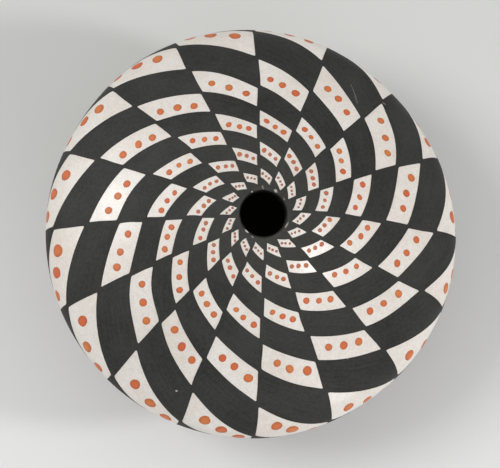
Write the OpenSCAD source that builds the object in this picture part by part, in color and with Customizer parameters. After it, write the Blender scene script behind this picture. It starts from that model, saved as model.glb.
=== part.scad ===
// Hand-coiled seed pot: a moulded base, ring coils lapped one inside the next, a rim coil
// round a small mouth, a white slip coat, a black painted net and rows of painted dots.
// Z is up, the origin is the centre of the flat foot, and sizes are millimetres.

/* [Body] */
// Widest diameter over the slip
body_d = 130; // [116:1:146]
// Height of the widest ring above the table
belly_h = 33; // [28:0.5:40]
// Rise of the dome's crown above the widest ring
dome_rise = 34; // [28:0.5:44]
// Radius of the belly's curve in section
belly_r = 16; // [12:0.5:20]
// Diameter of the flat foot
foot_d = 50; // [38:1:60]

/* [Wall] */
// Thickness of the clay wall
wall_t = 4; // [3:0.1:5.5]
// Thickness of the clay at the middle of the base
floor_t = 5.5; // [4:0.1:8]

/* [Mouth] */
// Diameter of the mouth
mouth_d = 14; // [10:0.5:20]
// Bevel that softens both edges of the lip
lip_bevel = 0.5; // [0.3:0.1:1]

/* [Coils] */
// Length up the wall of the base, from the edge of the foot
base_reach = 20; // [15:0.5:25]
// Length down the dome of the coil that carries the mouth
rim_reach = 8; // [6:0.5:12]
// How far each coil laps down inside the one below it
lap = 3; // [1:0.25:4]
// Number of coils between the base and the belly
lower_coils = 2; // [1:1:3]
// Number of coils round the belly
belly_coils = 2; // [2:1:4]
// Number of coils between the belly and the rim
dome_coils = 4; // [3:1:6]

/* [Coats] */
// Thickness of the white slip
slip_t = 0.25; // [0.2:0.05:0.5]
// Thickness of the black and orange paint
paint_t = 0.15; // [0.12:0.01:0.3]
// Bare clay left between the slip and the foot
slip_gap = 1; // [0.5:0.25:3]

/* [Pattern] */
// Number of sectors round the pot
sectors = 16; // [12:1:20]
// Number of rows of white cells from mouth to border
rows = 6; // [4:1:7]
// Width of the plain black band round the mouth
mouth_band = 0.9; // [0.5:0.1:2]
// Height above the table of the black border under the last row
border_h = 8; // [5:0.5:11]
// Width of that border line
border_w = 1.6; // [0.8:0.1:3]
// How far the rows on the dome are drawn out beyond an even spacing, in local radii
row_swell = 0.09; // [0:0.005:0.1]
// Number of rows on the dome that share that swell
swell_rows = 4; // [3:1:5]
// Width of the black line along each spoke
spoke_w = 1; // [0.5:0.1:1.4]
// Width of the black line along each spiral
spiral_w = 0.5; // [0.3:0.05:0.8]
// Number of dots in each white cell
cell_dots = 3; // [1:1:4]
// Diameter of a dot for each millimetre from the pot's axis
dot_growth = 0.062; // [0.04:0.002:0.075]

/* [Hidden] */
$fn = 180;
dot_fn = 24;
clay = "#b7a996";
slip_white = "#e0d8ce";
paint_black = "#3c3c39";
paint_orange = "#ca7448";

// Radii of the mouth, the foot and the circle that the belly's curve is centred on
mouth_r = mouth_d / 2;
foot_r = foot_d / 2;
belly_c = body_d / 2 - belly_r;

// Radii are kept to three places, and the arcs' centres are worked out again from them, so that
// the arcs still meet exactly
function three_places(x) = round(x * 1000) / 1000;

// The dome is an arc centred on the axis that runs smoothly into the belly's curve
dome_r = three_places((belly_c^2 + dome_rise^2 - belly_r^2) / (2 * (dome_rise - belly_r)));
dome_down = sqrt((dome_r - belly_r)^2 - belly_c^2);
dome_z = belly_h - dome_down;

// The lower body is an arc centred on the axis that leaves the belly's curve smoothly and
// meets the table at the edge of the foot: its centre's height solves a quadratic
lower_k = foot_r^2 + belly_h^2 + belly_r^2 - belly_c^2;
quad_a = (belly_h / belly_r)^2 - 1;
quad_b = lower_k * belly_h / belly_r^2 - 2 * belly_h;
quad_c = (lower_k / (2 * belly_r))^2 - foot_r^2 - belly_h^2;
lower_root = (-quad_b + sqrt(quad_b^2 - 4 * quad_a * quad_c)) / (2 * quad_a);
lower_r = three_places((lower_k + 2 * belly_h * lower_root) / (2 * belly_r));
lower_up = sqrt((lower_r - belly_r)^2 - belly_c^2);
lower_z = belly_h + lower_up;

// The meridian starts at the crown and runs down to the foot. Each zone is one arc:
// [centre's distance from the axis, centre's height, radius, first angle, last angle],
// with angles measured from straight up
dome_end = atan2(belly_c, dome_down);
belly_end = 180 - atan2(belly_c, lower_up);
foot_angle = 180 - acos(lower_z / lower_r);
zones = [
    [0, dome_z, dome_r, 0, dome_end],
    [belly_c, belly_h, belly_r, dome_end, belly_end],
    [0, lower_z, lower_r, belly_end, foot_angle],
];

// Distance along the meridian at the end of each zone
function arc_len(zone) = zone[2] * (zone[4] - zone[3]) * PI / 180;
dome_s = arc_len(zones[0]);
belly_s = dome_s + arc_len(zones[1]);
foot_s = belly_s + arc_len(zones[2]);
zone_starts = [0, dome_s, belly_s];
zone_ends = [dome_s, belly_s, foot_s];

// The zone, the angle and the slip's outer point [radius, height] at a meridian distance
function zone_at(s) = s <= dome_s ? 0 : s <= belly_s ? 1 : 2;
function angle_at(s) =
    let (i = zone_at(s))
    zones[i][3] + (s - zone_starts[i]) / zones[i][2] * 180 / PI;
function outward(a) = [sin(a), cos(a)];
function footward(a) = [cos(a), -sin(a)];
function point_at(s, lift = 0) =
    let (zone = zones[zone_at(s)])
    [zone[0], zone[1]] + (zone[2] + lift) * outward(angle_at(s));

// Meridian distances of the coats' edges
lip_s = dome_r * asin((mouth_r + lip_bevel) / dome_r) * PI / 180;
slip_end_s = foot_s - slip_gap;

// Coil joints from the rim down: the lowest joint is the base's
rim_joint_s = lip_s + rim_reach;
base_joint_s = foot_s - base_reach;
dome_pitch = (dome_s - rim_joint_s) / dome_coils;
belly_pitch = (belly_s - dome_s) / belly_coils;
lower_pitch = (base_joint_s - belly_s) / lower_coils;
joints = concat(
    [for (i = [0:dome_coils - 1]) rim_joint_s + i * dome_pitch],
    [for (i = [0:belly_coils - 1]) dome_s + i * belly_pitch],
    [for (i = [0:lower_coils]) belly_s + i * lower_pitch]
);
joint_over = 0.6;
coat_cut = 2;

// A joint slants from the clay's outer face to its inner face, towards the foot, and its
// cutting line runs past both faces
function joint_way(s) = -wall_t * outward(angle_at(s)) + lap * footward(angle_at(s));
function joint_outside(s) = point_at(s, -slip_t) - joint_over * joint_way(s);
function joint_inside(s) = point_at(s, -slip_t) + (1 + joint_over) * joint_way(s);

// Names of the coils from the base up, and the course of each one: [name, upper joint,
// lower joint, zone]
function coil_rows(name, count, first, zone) = [
    for (i = [1:count])
        let (upper = first + count - i)
        [str(name, i), joints[upper], joints[upper + 1], zone]
];
coils = concat(
    coil_rows("lower_coil_", lower_coils, dome_coils + belly_coils, 2),
    coil_rows("belly_coil_", belly_coils, dome_coils, 1),
    coil_rows("dome_coil_", dome_coils, 0, 0)
);

// The pattern is even in angle and in q, the meridian distance counted in local radii, so a
// cell keeps its shape as the pot widens. The table gives q and height at each distance
table_steps = 400;
table_ds = (foot_s - lip_s) / table_steps;
function mid_radius(i) = point_at(lip_s + (i + 0.5) * table_ds)[0];
q_table = [
    for (i = 0, q = 0; i <= table_steps; q = q + table_ds / mid_radius(i), i = i + 1)
        [q, lip_s + i * table_ds]
];
function s_of_q(q) = lookup(q, q_table);
function q_of_s(s) = lookup(s, [for (row = q_table) [row[1], row[0]]]);
function s_of_height(z) = lookup(-z, [for (row = q_table) [-point_at(row[1])[1], row[1]]]);

border_s = s_of_height(border_h);
paint_end_s = border_s + border_w;
pattern_q = q_of_s(lip_s + mouth_band);
step_q = (q_of_s(border_s) - pattern_q) / (2 * rows);
sector_a = 360 / sectors;
spiral_slope = atan2(step_q, sector_a * PI / 180);
window_steps = 6;
window_deep = 12;
window_high = 2;

// q at a number of half rows from the mouth: even steps, with the dome's rows drawn out a little
function row_q(half_rows) =
    pattern_q + half_rows * step_q + row_swell * sin(min(1, half_rows / (2 * swell_rows)) * 180);

// Point on the slip at an angle and a q, and its frame: round the pot, towards the mouth, out
function skin_point(a, q) =
    let (p = point_at(s_of_q(q)))
    [p[0] * cos(a), p[0] * sin(a), p[1]];
function frame_at(a, q) =
    let (t = angle_at(s_of_q(q)))
    [
        [-sin(a), cos(a), 0],
        [-cos(t) * cos(a), -cos(t) * sin(a), sin(t)],
        [sin(t) * cos(a), sin(t) * sin(a), cos(t)],
    ];

// A place in white cell number row: across is 0 to 1 from spoke to spoke, down is 0 to 1 from
// its inner spiral to its outer one
function cell_a(across) = across * sector_a;
function cell_q(row, across, down) = row_q(2 * row + across + down);
function cell_radius(row, across, down) = point_at(s_of_q(cell_q(row, across, down)))[0];
function spoke_inset(row, across) = spoke_w / 2 / (cell_radius(row, across, 0.5) * sector_a * PI / 180);
function spiral_inset(row, across) =
    spiral_w / 2 / (cell_radius(row, across, 0.5) * cos(spiral_slope) * step_q);

// Moves its children from a flat drawing to the surface at an angle and a q
module on_skin(a, q) {
    p = skin_point(a, q);
    f = frame_at(a, q);
    multmatrix([for (i = [0:2]) [f[0][i], f[1][i], f[2][i], p[i]]]) children();
}

// Moves its children to a zone's centre, in a coarse step and a fine one that keeps every digit
module at_centre(zone) {
    coarse = floor(zone[1] * 100) / 100;
    translate([zone[0], coarse]) translate([0, zone[1] - coarse]) children();
}

// A ring of one zone between two lifts from the slip's outer face
module zone_ring(zone, low, high) {
    at_centre(zone) difference() {
        circle(zone[2] + high);
        circle(zone[2] + low);
    }
}

// The stretch of one zone's plane between two meridian distances, cut square to the surface
module zone_stretch(zone, from_s, to_s) {
    half = (to_s - from_s) / zone[2] * 90 / PI;
    peak = [zone[0], zone[1]] + (zone[2] + coat_cut) / cos(half) * outward(angle_at((from_s + to_s) / 2));
    polygon([
        point_at(from_s, coat_cut), peak, point_at(to_s, coat_cut),
        point_at(to_s, -coat_cut), point_at(from_s, -coat_cut),
    ]);
}

// A coat of revolution from one meridian distance to another, between two lifts
module coat(from_s, to_s, low, high) {
    least = 0.01;
    rotate_extrude() {
        for (i = [0:2]) {
            start = max(from_s, zone_starts[i]);
            end = min(to_s, zone_ends[i]);
            if (end - start > least) intersection() {
                zone_ring(zones[i], low, high);
                zone_stretch(zones[i], start, end);
            }
        }
    }
}

// The moulded base: a flat foot, a thick floor and the first stretch of wall
module base() {
    edge = joints[len(joints) - 1];
    color(clay) rotate_extrude() difference() {
        intersection() {
            at_centre(zones[2]) circle(lower_r - slip_t);
            polygon([
                [0, 0], [body_d, 0], joint_outside(edge),
                joint_inside(edge), [0, joint_inside(edge)[1]],
            ]);
        }
        intersection() {
            at_centre(zones[2]) circle(lower_r - slip_t - wall_t);
            translate([-body_d, floor_t]) square([2 * body_d, body_d]);
        }
    }
}

// One ring coil of the wall, between its upper and lower joints
module coil(course) {
    color(clay) rotate_extrude() intersection() {
        zone_ring(zones[course[3]], -slip_t - wall_t, -slip_t);
        polygon([
            joint_outside(course[1]), joint_outside(course[2]),
            joint_inside(course[2]), joint_inside(course[1]),
        ]);
    }
}

// The coil that closes the dome round the mouth, with both edges of its lip bevelled
module rim_coil() {
    edge = joints[0];
    lip_top = dome_z + sqrt((dome_r - slip_t)^2 - mouth_r^2);
    lip_low = dome_z + sqrt((dome_r - slip_t - wall_t)^2 - mouth_r^2);
    flare = lip_bevel + wall_t;
    color(clay) rotate_extrude() difference() {
        intersection() {
            zone_ring(zones[0], -slip_t - wall_t, -slip_t);
            polygon([
                [0, lip_top + wall_t], [edge, lip_top + wall_t], joint_outside(edge),
                joint_inside(edge), [0, joint_inside(edge)[1]],
            ]);
        }
        polygon([
            [-mouth_r, lip_low - wall_t], [mouth_r + flare, lip_low - wall_t],
            [mouth_r, lip_low + lip_bevel], [mouth_r, lip_top - lip_bevel],
            [mouth_r + flare, lip_top + wall_t], [-mouth_r, lip_top + wall_t],
        ]);
    }
}

// The white slip, one coat from the lip to just above the foot
module white_slip() {
    color(slip_white) coat(lip_s, slip_end_s, -slip_t, 0);
}

// The paint's own layer, from the lip to the border under the last row
module paint_layer() {
    coat(lip_s, paint_end_s, 0, paint_t);
}

// Outline of one white cell, as a prism square to the surface at the cell's middle
module cell_window(row) {
    mid_a = cell_a(0.5);
    mid_q = cell_q(row, 0.5, 0.5);
    middle = skin_point(mid_a, mid_q);
    f = frame_at(mid_a, mid_q);
    left = spoke_inset(row, 0);
    right = 1 - spoke_inset(row, 1);
    across = [for (i = [0:window_steps]) left + (right - left) * i / window_steps];
    inner = [for (u = across) skin_point(cell_a(u), cell_q(row, u, spiral_inset(row, u)))];
    outer = [for (i = [window_steps:-1:0])
        skin_point(cell_a(across[i]), cell_q(row, across[i], 1 - spiral_inset(row, across[i])))];
    on_skin(mid_a, mid_q) translate([0, 0, -window_deep]) linear_extrude(window_deep + window_high)
        polygon([for (p = concat(inner, outer)) [(p - middle) * f[0], (p - middle) * f[1]]]);
}

// The black net: the paint's layer with a window for each white cell
module black_paint() {
    color(paint_black) difference() {
        paint_layer();
        for (k = [0:sectors - 1], row = [0:rows - 1]) rotate(k * sector_a) cell_window(row);
    }
}

// The dots, set evenly along the middle of each white cell
module orange_dots() {
    color(paint_orange) intersection() {
        paint_layer();
        for (k = [0:sectors - 1], row = [0:rows - 1], i = [1:cell_dots]) {
            across = i / (cell_dots + 1);
            d = dot_growth * cell_radius(row, across, 0.5);
            rotate(k * sector_a) on_skin(cell_a(across), cell_q(row, across, 0.5))
                cylinder(h = window_high, d = d, center = true, $fn = dot_fn);
        }
    }
}

base();
for (course = coils) coil(course);
rim_coil();
white_slip();
black_paint();
orange_dots();
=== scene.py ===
"""A hand-coiled seed pot: polished slip, a painted net and painted dots round the packed clay."""

import logging
import math
from dataclasses import dataclass, field, replace
from enum import Enum
from typing import Callable, Union

import bpy
import numpy as np
from mathutils import Matrix, Vector


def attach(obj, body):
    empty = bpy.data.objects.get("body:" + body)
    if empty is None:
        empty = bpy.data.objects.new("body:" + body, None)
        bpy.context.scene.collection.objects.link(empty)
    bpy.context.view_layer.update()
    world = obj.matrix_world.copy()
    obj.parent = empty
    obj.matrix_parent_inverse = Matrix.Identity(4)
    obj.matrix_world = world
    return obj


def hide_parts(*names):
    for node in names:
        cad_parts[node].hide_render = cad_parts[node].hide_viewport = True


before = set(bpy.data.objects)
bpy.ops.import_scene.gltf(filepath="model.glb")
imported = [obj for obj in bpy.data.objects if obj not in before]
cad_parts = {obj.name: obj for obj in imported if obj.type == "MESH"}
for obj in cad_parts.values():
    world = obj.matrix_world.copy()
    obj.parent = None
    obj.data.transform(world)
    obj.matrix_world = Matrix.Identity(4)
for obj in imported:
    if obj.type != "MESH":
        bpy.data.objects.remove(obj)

LOG = logging.getLogger("seed_pot")
MM = 0.001
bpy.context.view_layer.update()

# Points closer than this are one point.
WELD = 0.004 * MM
# Edges that turn by more than this stay crisp.
CRISP = math.radians(38.0)
# The search for a tangent round: how often it halves, and how many pot widths it spans.
HALVINGS = 80
SEARCH_SPAN = 40
# How wide a lapse is, in degrees, when it goes round the whole pot.
ALL_ROUND = 1000.0
# Where the mix node has its colour sockets: the two inputs and the output.
MIX_FIRST = 6
MIX_SECOND = 7
MIX_RESULT = 2

Colour = tuple[float, float, float]
Socket = bpy.types.NodeSocket
Value = Union[float, int, bool, str, tuple, Socket, bpy.types.ID]
Points = np.ndarray
Waver = Callable[[Points], Points]


class Slot(Enum):
    """The record's material slots."""

    CLAY = "clay"
    WHITE_SLIP = "white_slip"
    BLACK_PAINT = "black_paint"
    ORANGE_PAINT = "orange_paint"


class Trait(Enum):
    """Attributes that the painter's hand leaves on a mesh, and the painted shade in the bore, which the
    finishes read.
    """

    LAY = "lay"
    STROKE = "stroke"
    RUBBED = "rubbed"
    # Painted shade: where the paint is painted near black down the bore.
    BORE = "bore"
    TINT = "tint"
    RIM = "rim"
    THICK = "thick"


class DotTrait(Enum):
    """Attributes that carry one dot's place and size into the node tree."""

    ANGLE = "dot_angle"
    REACH = "dot_reach"
    GIRTH = "dot_girth"
    HALF_WIDTH = "dot_half_width"
    STRETCH = "dot_stretch"
    TURN = "dot_turn"
    DRAWN = "dot_drawn"
    NUMBER = "dot_number"


def linear(red: int, green: int, blue: int) -> Colour:
    """A colour as seen on screen, turned into the light values that a shader takes.

    Args:
        red: Red from 0 to 255.
        green: Green from 0 to 255.
        blue: Blue from 0 to 255.

    Returns:
        The three linear values.
    """
    def one(level: int) -> float:
        """One channel of it."""
        share = level / 255.0
        return share / 12.92 if share <= 0.04045 else ((share + 0.055) / 1.055) ** 2.4

    return one(red), one(green), one(blue)


# Node trees

class NodeSheet:
    """A node tree being drawn, with short calls for the nodes that all trees share."""

    def __init__(self, tree: bpy.types.NodeTree) -> None:
        """Keeps the tree that the calls add to.

        Args:
            tree: The tree.
        """
        self.tree = tree

    def add(self, kind: str, **settings: object) -> bpy.types.Node:
        """Adds one node.

        Args:
            kind: The node's type.
            settings: The node's own properties.

        Returns:
            The node.
        """
        node = self.tree.nodes.new(kind)
        for name, value in settings.items():
            setattr(node, name, value)
        return node

    def feed(self, socket: Socket, value: Value) -> None:
        """Links a socket to another, or sets its value.

        Args:
            socket: The input that is fed.
            value: A socket to link from, or a plain value.
        """
        if isinstance(value, Socket):
            self.tree.links.new(value, socket)
        else:
            socket.default_value = value

    def use(self, kind: str, feeds: dict[str, Value], out: str | int = 0, **settings: object) -> Socket:
        """Adds a node, feeds its named inputs and gives one output.

        Args:
            kind: The node's type.
            feeds: Values by the name of the input.
            out: The output's name or number.
            settings: The node's own properties.

        Returns:
            The output socket.
        """
        node = self.add(kind, **settings)
        for name, value in feeds.items():
            self.feed(node.inputs[name], value)
        return node.outputs[out]

    def math(self, operation: str, *values: Value) -> Socket:
        """One step of arithmetic.

        Args:
            operation: The step's name.
            values: Its numbers, in order.

        Returns:
            The result.
        """
        node = self.add("ShaderNodeMath", operation=operation)
        for socket, value in zip(node.inputs, values):
            self.feed(socket, value)
        return node.outputs[0]

    def total(self, *values: Value) -> Socket:
        """Several numbers added up.

        Args:
            values: The numbers.

        Returns:
            Their sum.
        """
        result = values[0]
        for value in values[1:]:
            result = self.math("ADD", result, value)
        return result

    def scaled(self, value: Value, gain: float, base: float = 0.0) -> Socket:
        """A number times a gain plus a base.

        Args:
            value: The number.
            gain: What it is multiplied by.
            base: What is added.

        Returns:
            The result.
        """
        return self.math("MULTIPLY_ADD", value, gain, base)

    def weighed(self, *parts: tuple[Value, float]) -> Socket:
        """Several numbers added up, each times its own gain.

        Args:
            parts: The numbers with their gains.

        Returns:
            Their sum.
        """
        return self.total(*(self.scaled(value, gain) for value, gain in parts))

    def between(self, value: Value, low: Value, high: Value) -> Socket:
        """A smooth step from 0 to 1.

        Args:
            value: The number that is looked at.
            low: Where the step starts.
            high: Where it ends.

        Returns:
            The share from 0 to 1.
        """
        node = self.add("ShaderNodeMapRange", interpolation_type="SMOOTHSTEP")
        for name, number in (("Value", value), ("From Min", low), ("From Max", high)):
            self.feed(node.inputs[name], number)
        return node.outputs["Result"]

    def vector(self, x: Value, y: Value, z: Value) -> Socket:
        """Three numbers as one vector.

        Args:
            x: The first.
            y: The second.
            z: The third.

        Returns:
            The vector.
        """
        return self.use("ShaderNodeCombineXYZ", {"X": x, "Y": y, "Z": z})

    def split(self, vector: Socket) -> tuple[Socket, Socket, Socket]:
        """A vector as its three numbers.

        Args:
            vector: The vector.

        Returns:
            Its X, Y and Z.
        """
        node = self.add("ShaderNodeSeparateXYZ")
        self.feed(node.inputs[0], vector)
        return node.outputs[0], node.outputs[1], node.outputs[2]

    def stretched(self, vector: Socket, stretch: tuple[float, float, float]) -> Socket:
        """A vector multiplied number by number.

        Args:
            vector: The vector.
            stretch: The three gains.

        Returns:
            The result.
        """
        node = self.add("ShaderNodeVectorMath", operation="MULTIPLY")
        self.feed(node.inputs[0], vector)
        self.feed(node.inputs[1], stretch)
        return node.outputs[0]

    def noise(self, vector: Value, scale: float, detail: float = 2.0, rough: float = 0.5) -> Socket:
        """Soft noise between 0 and 1.

        Args:
            vector: Where it is read.
            scale: Bumps per metre.
            detail: How many finer layers it has.
            rough: How strong they are.

        Returns:
            The value.
        """
        feeds = {"Vector": vector, "Scale": scale, "Detail": detail, "Roughness": rough}
        return self.use("ShaderNodeTexNoise", feeds, 0)

    def blend(self, share: Value, first: Value, second: Value) -> Socket:
        """Two colours mixed.

        Args:
            share: How much of the second.
            first: One colour, or its socket.
            second: The other.

        Returns:
            The mixed colour.
        """
        node = self.add("ShaderNodeMix", data_type="RGBA")
        whole = [c if isinstance(c, Socket) else (*c, 1.0) for c in (first, second)]
        self.feed(node.inputs["Factor"], share)
        self.feed(node.inputs[MIX_FIRST], whole[0])
        self.feed(node.inputs[MIX_SECOND], whole[1])
        return node.outputs[MIX_RESULT]


class GeometrySheet(NodeSheet):
    """A Geometry Nodes tree with named inputs."""

    def __init__(self, name: str) -> None:
        """Starts an empty tree with a geometry output.

        Args:
            name: The tree's name.
        """
        super().__init__(bpy.data.node_groups.new(name, "GeometryNodeTree"))
        self.source = self.add("NodeGroupInput")
        self.sink = self.add("NodeGroupOutput")

    def take(self, name: str, kind: str = "NodeSocketFloat", start: Value | None = None) -> Socket:
        """Adds a named input.

        Args:
            name: The input's name.
            kind: Its socket type.
            start: Its value until another is given.

        Returns:
            The socket that gives the value inside the tree.
        """
        item = self.tree.interface.new_socket(name=name, in_out="INPUT", socket_type=kind)
        if start is not None:
            item.default_value = start
        return self.source.outputs[name]

    def give(self, name: str, kind: str, value: Socket) -> None:
        """Adds a named output.

        Args:
            name: The output's name.
            kind: Its socket type.
            value: What it gives.
        """
        self.tree.interface.new_socket(name=name, in_out="OUTPUT", socket_type=kind)
        self.feed(self.sink.inputs[name], value)

    def group(self, sheet: "GeometrySheet", feeds: dict[str, Value]) -> bpy.types.Node:
        """Uses another tree as one node.

        Args:
            sheet: The other tree.
            feeds: Values by the name of its inputs.

        Returns:
            The node.
        """
        node = self.add("GeometryNodeGroup", node_tree=sheet.tree)
        for name, value in feeds.items():
            self.feed(node.inputs[name], value)
        return node

    def named(self, trait: Enum) -> Socket:
        """Reads a named number.

        Args:
            trait: The attribute.

        Returns:
            Its value.
        """
        return self.use("GeometryNodeInputNamedAttribute", {"Name": trait.value}, 0, data_type="FLOAT")

    def store(self, geometry: Socket, trait: Enum, value: Socket, kind: str = "FLOAT_VECTOR") -> Socket:
        """Writes a named attribute on the points.

        Args:
            geometry: What it is written on.
            trait: The attribute.
            value: Its value.
            kind: Its data type.

        Returns:
            The geometry with the attribute.
        """
        feeds = {"Geometry": geometry, "Name": trait.value, "Value": value}
        return self.use("GeometryNodeStoreNamedAttribute", feeds, 0, data_type=kind, domain="POINT")

    def close(self, geometry: Socket, finish: Socket) -> None:
        """Ends a piece's tree: real mesh, smooth faces with crisp edges, and the finish.

        Args:
            geometry: The shaped geometry.
            finish: The material.
        """
        real = self.use("GeometryNodeRealizeInstances", {"Geometry": geometry})
        smooth = self.use("GeometryNodeSetShadeSmooth", {"Geometry": real, "Shade Smooth": True})
        angle = self.use("GeometryNodeInputMeshEdgeAngle", {}, "Unsigned Angle")
        crisp = self.math("GREATER_THAN", angle, CRISP)
        edges = self.use(
            "GeometryNodeSetShadeSmooth",
            {"Geometry": smooth, "Selection": crisp, "Shade Smooth": False},
            domain="EDGE",
        )
        dressed = self.use("GeometryNodeSetMaterial", {"Geometry": edges, "Material": finish})
        self.give("Geometry", "NodeSocketGeometry", dressed)


def settle(piece: bpy.types.Object, sheet: GeometrySheet, feeds: dict[str, Value]) -> None:
    """Runs a tree on a piece and keeps the result as its plain mesh.

    Args:
        piece: The object.
        sheet: The tree.
        feeds: Values by the name of the tree's inputs.
    """
    modifier = piece.modifiers.new(sheet.tree.name, "NODES")
    modifier.node_group = sheet.tree
    for item in sheet.tree.interface.items_tree:
        if item.item_type == "SOCKET" and item.in_out == "INPUT" and item.name in feeds:
            modifier[item.identifier] = feeds[item.name]
    graph = bpy.context.evaluated_depsgraph_get()
    made = bpy.data.meshes.new_from_object(
        piece.evaluated_get(graph), preserve_all_data_layers=True, depsgraph=graph
    )
    piece.modifiers.clear()
    made.name = piece.name
    piece.data = made


def new_piece(name: str, mesh: bpy.types.Mesh | None = None) -> bpy.types.Object:
    """Makes an object at the origin.

    Args:
        name: Its name.
        mesh: Its mesh, or none for an empty one.

    Returns:
        The object.
    """
    piece = bpy.data.objects.new(name, mesh or bpy.data.meshes.new(name))
    bpy.context.scene.collection.objects.link(piece)
    return piece


def place(piece: bpy.types.Object, slot: Slot, *nodes: str) -> None:
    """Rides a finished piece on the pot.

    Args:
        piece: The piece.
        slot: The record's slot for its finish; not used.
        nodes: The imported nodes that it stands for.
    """
    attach(piece, "root")
    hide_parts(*nodes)
    LOG.info("%s: %d faces, stands for %s", piece.name, len(piece.data.polygons), ", ".join(nodes))


# The pot's shape

@dataclass(frozen=True)
class Stretch:
    """One round stretch of the pot's section, from the mouth down to the foot."""

    name: str
    start: float
    length: float
    radius: float
    turn: float


@dataclass(frozen=True)
class HandWave:
    """One slow wave that a hand leaves: its height, waves round the pot, radians per metre, and start."""

    height: float
    around: int
    down: float
    phase: float

    def round_pot(self, angle: Points) -> Points:
        """The wave at some angles, where it runs round the pot alone."""
        return self.height * np.sin(angle * self.around + self.phase)


@dataclass(frozen=True)
class Press:
    """A place where the belly was pressed in, or out, by hand: its angle and spread in degrees."""

    angle: float
    wide: float
    depth: float


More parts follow.
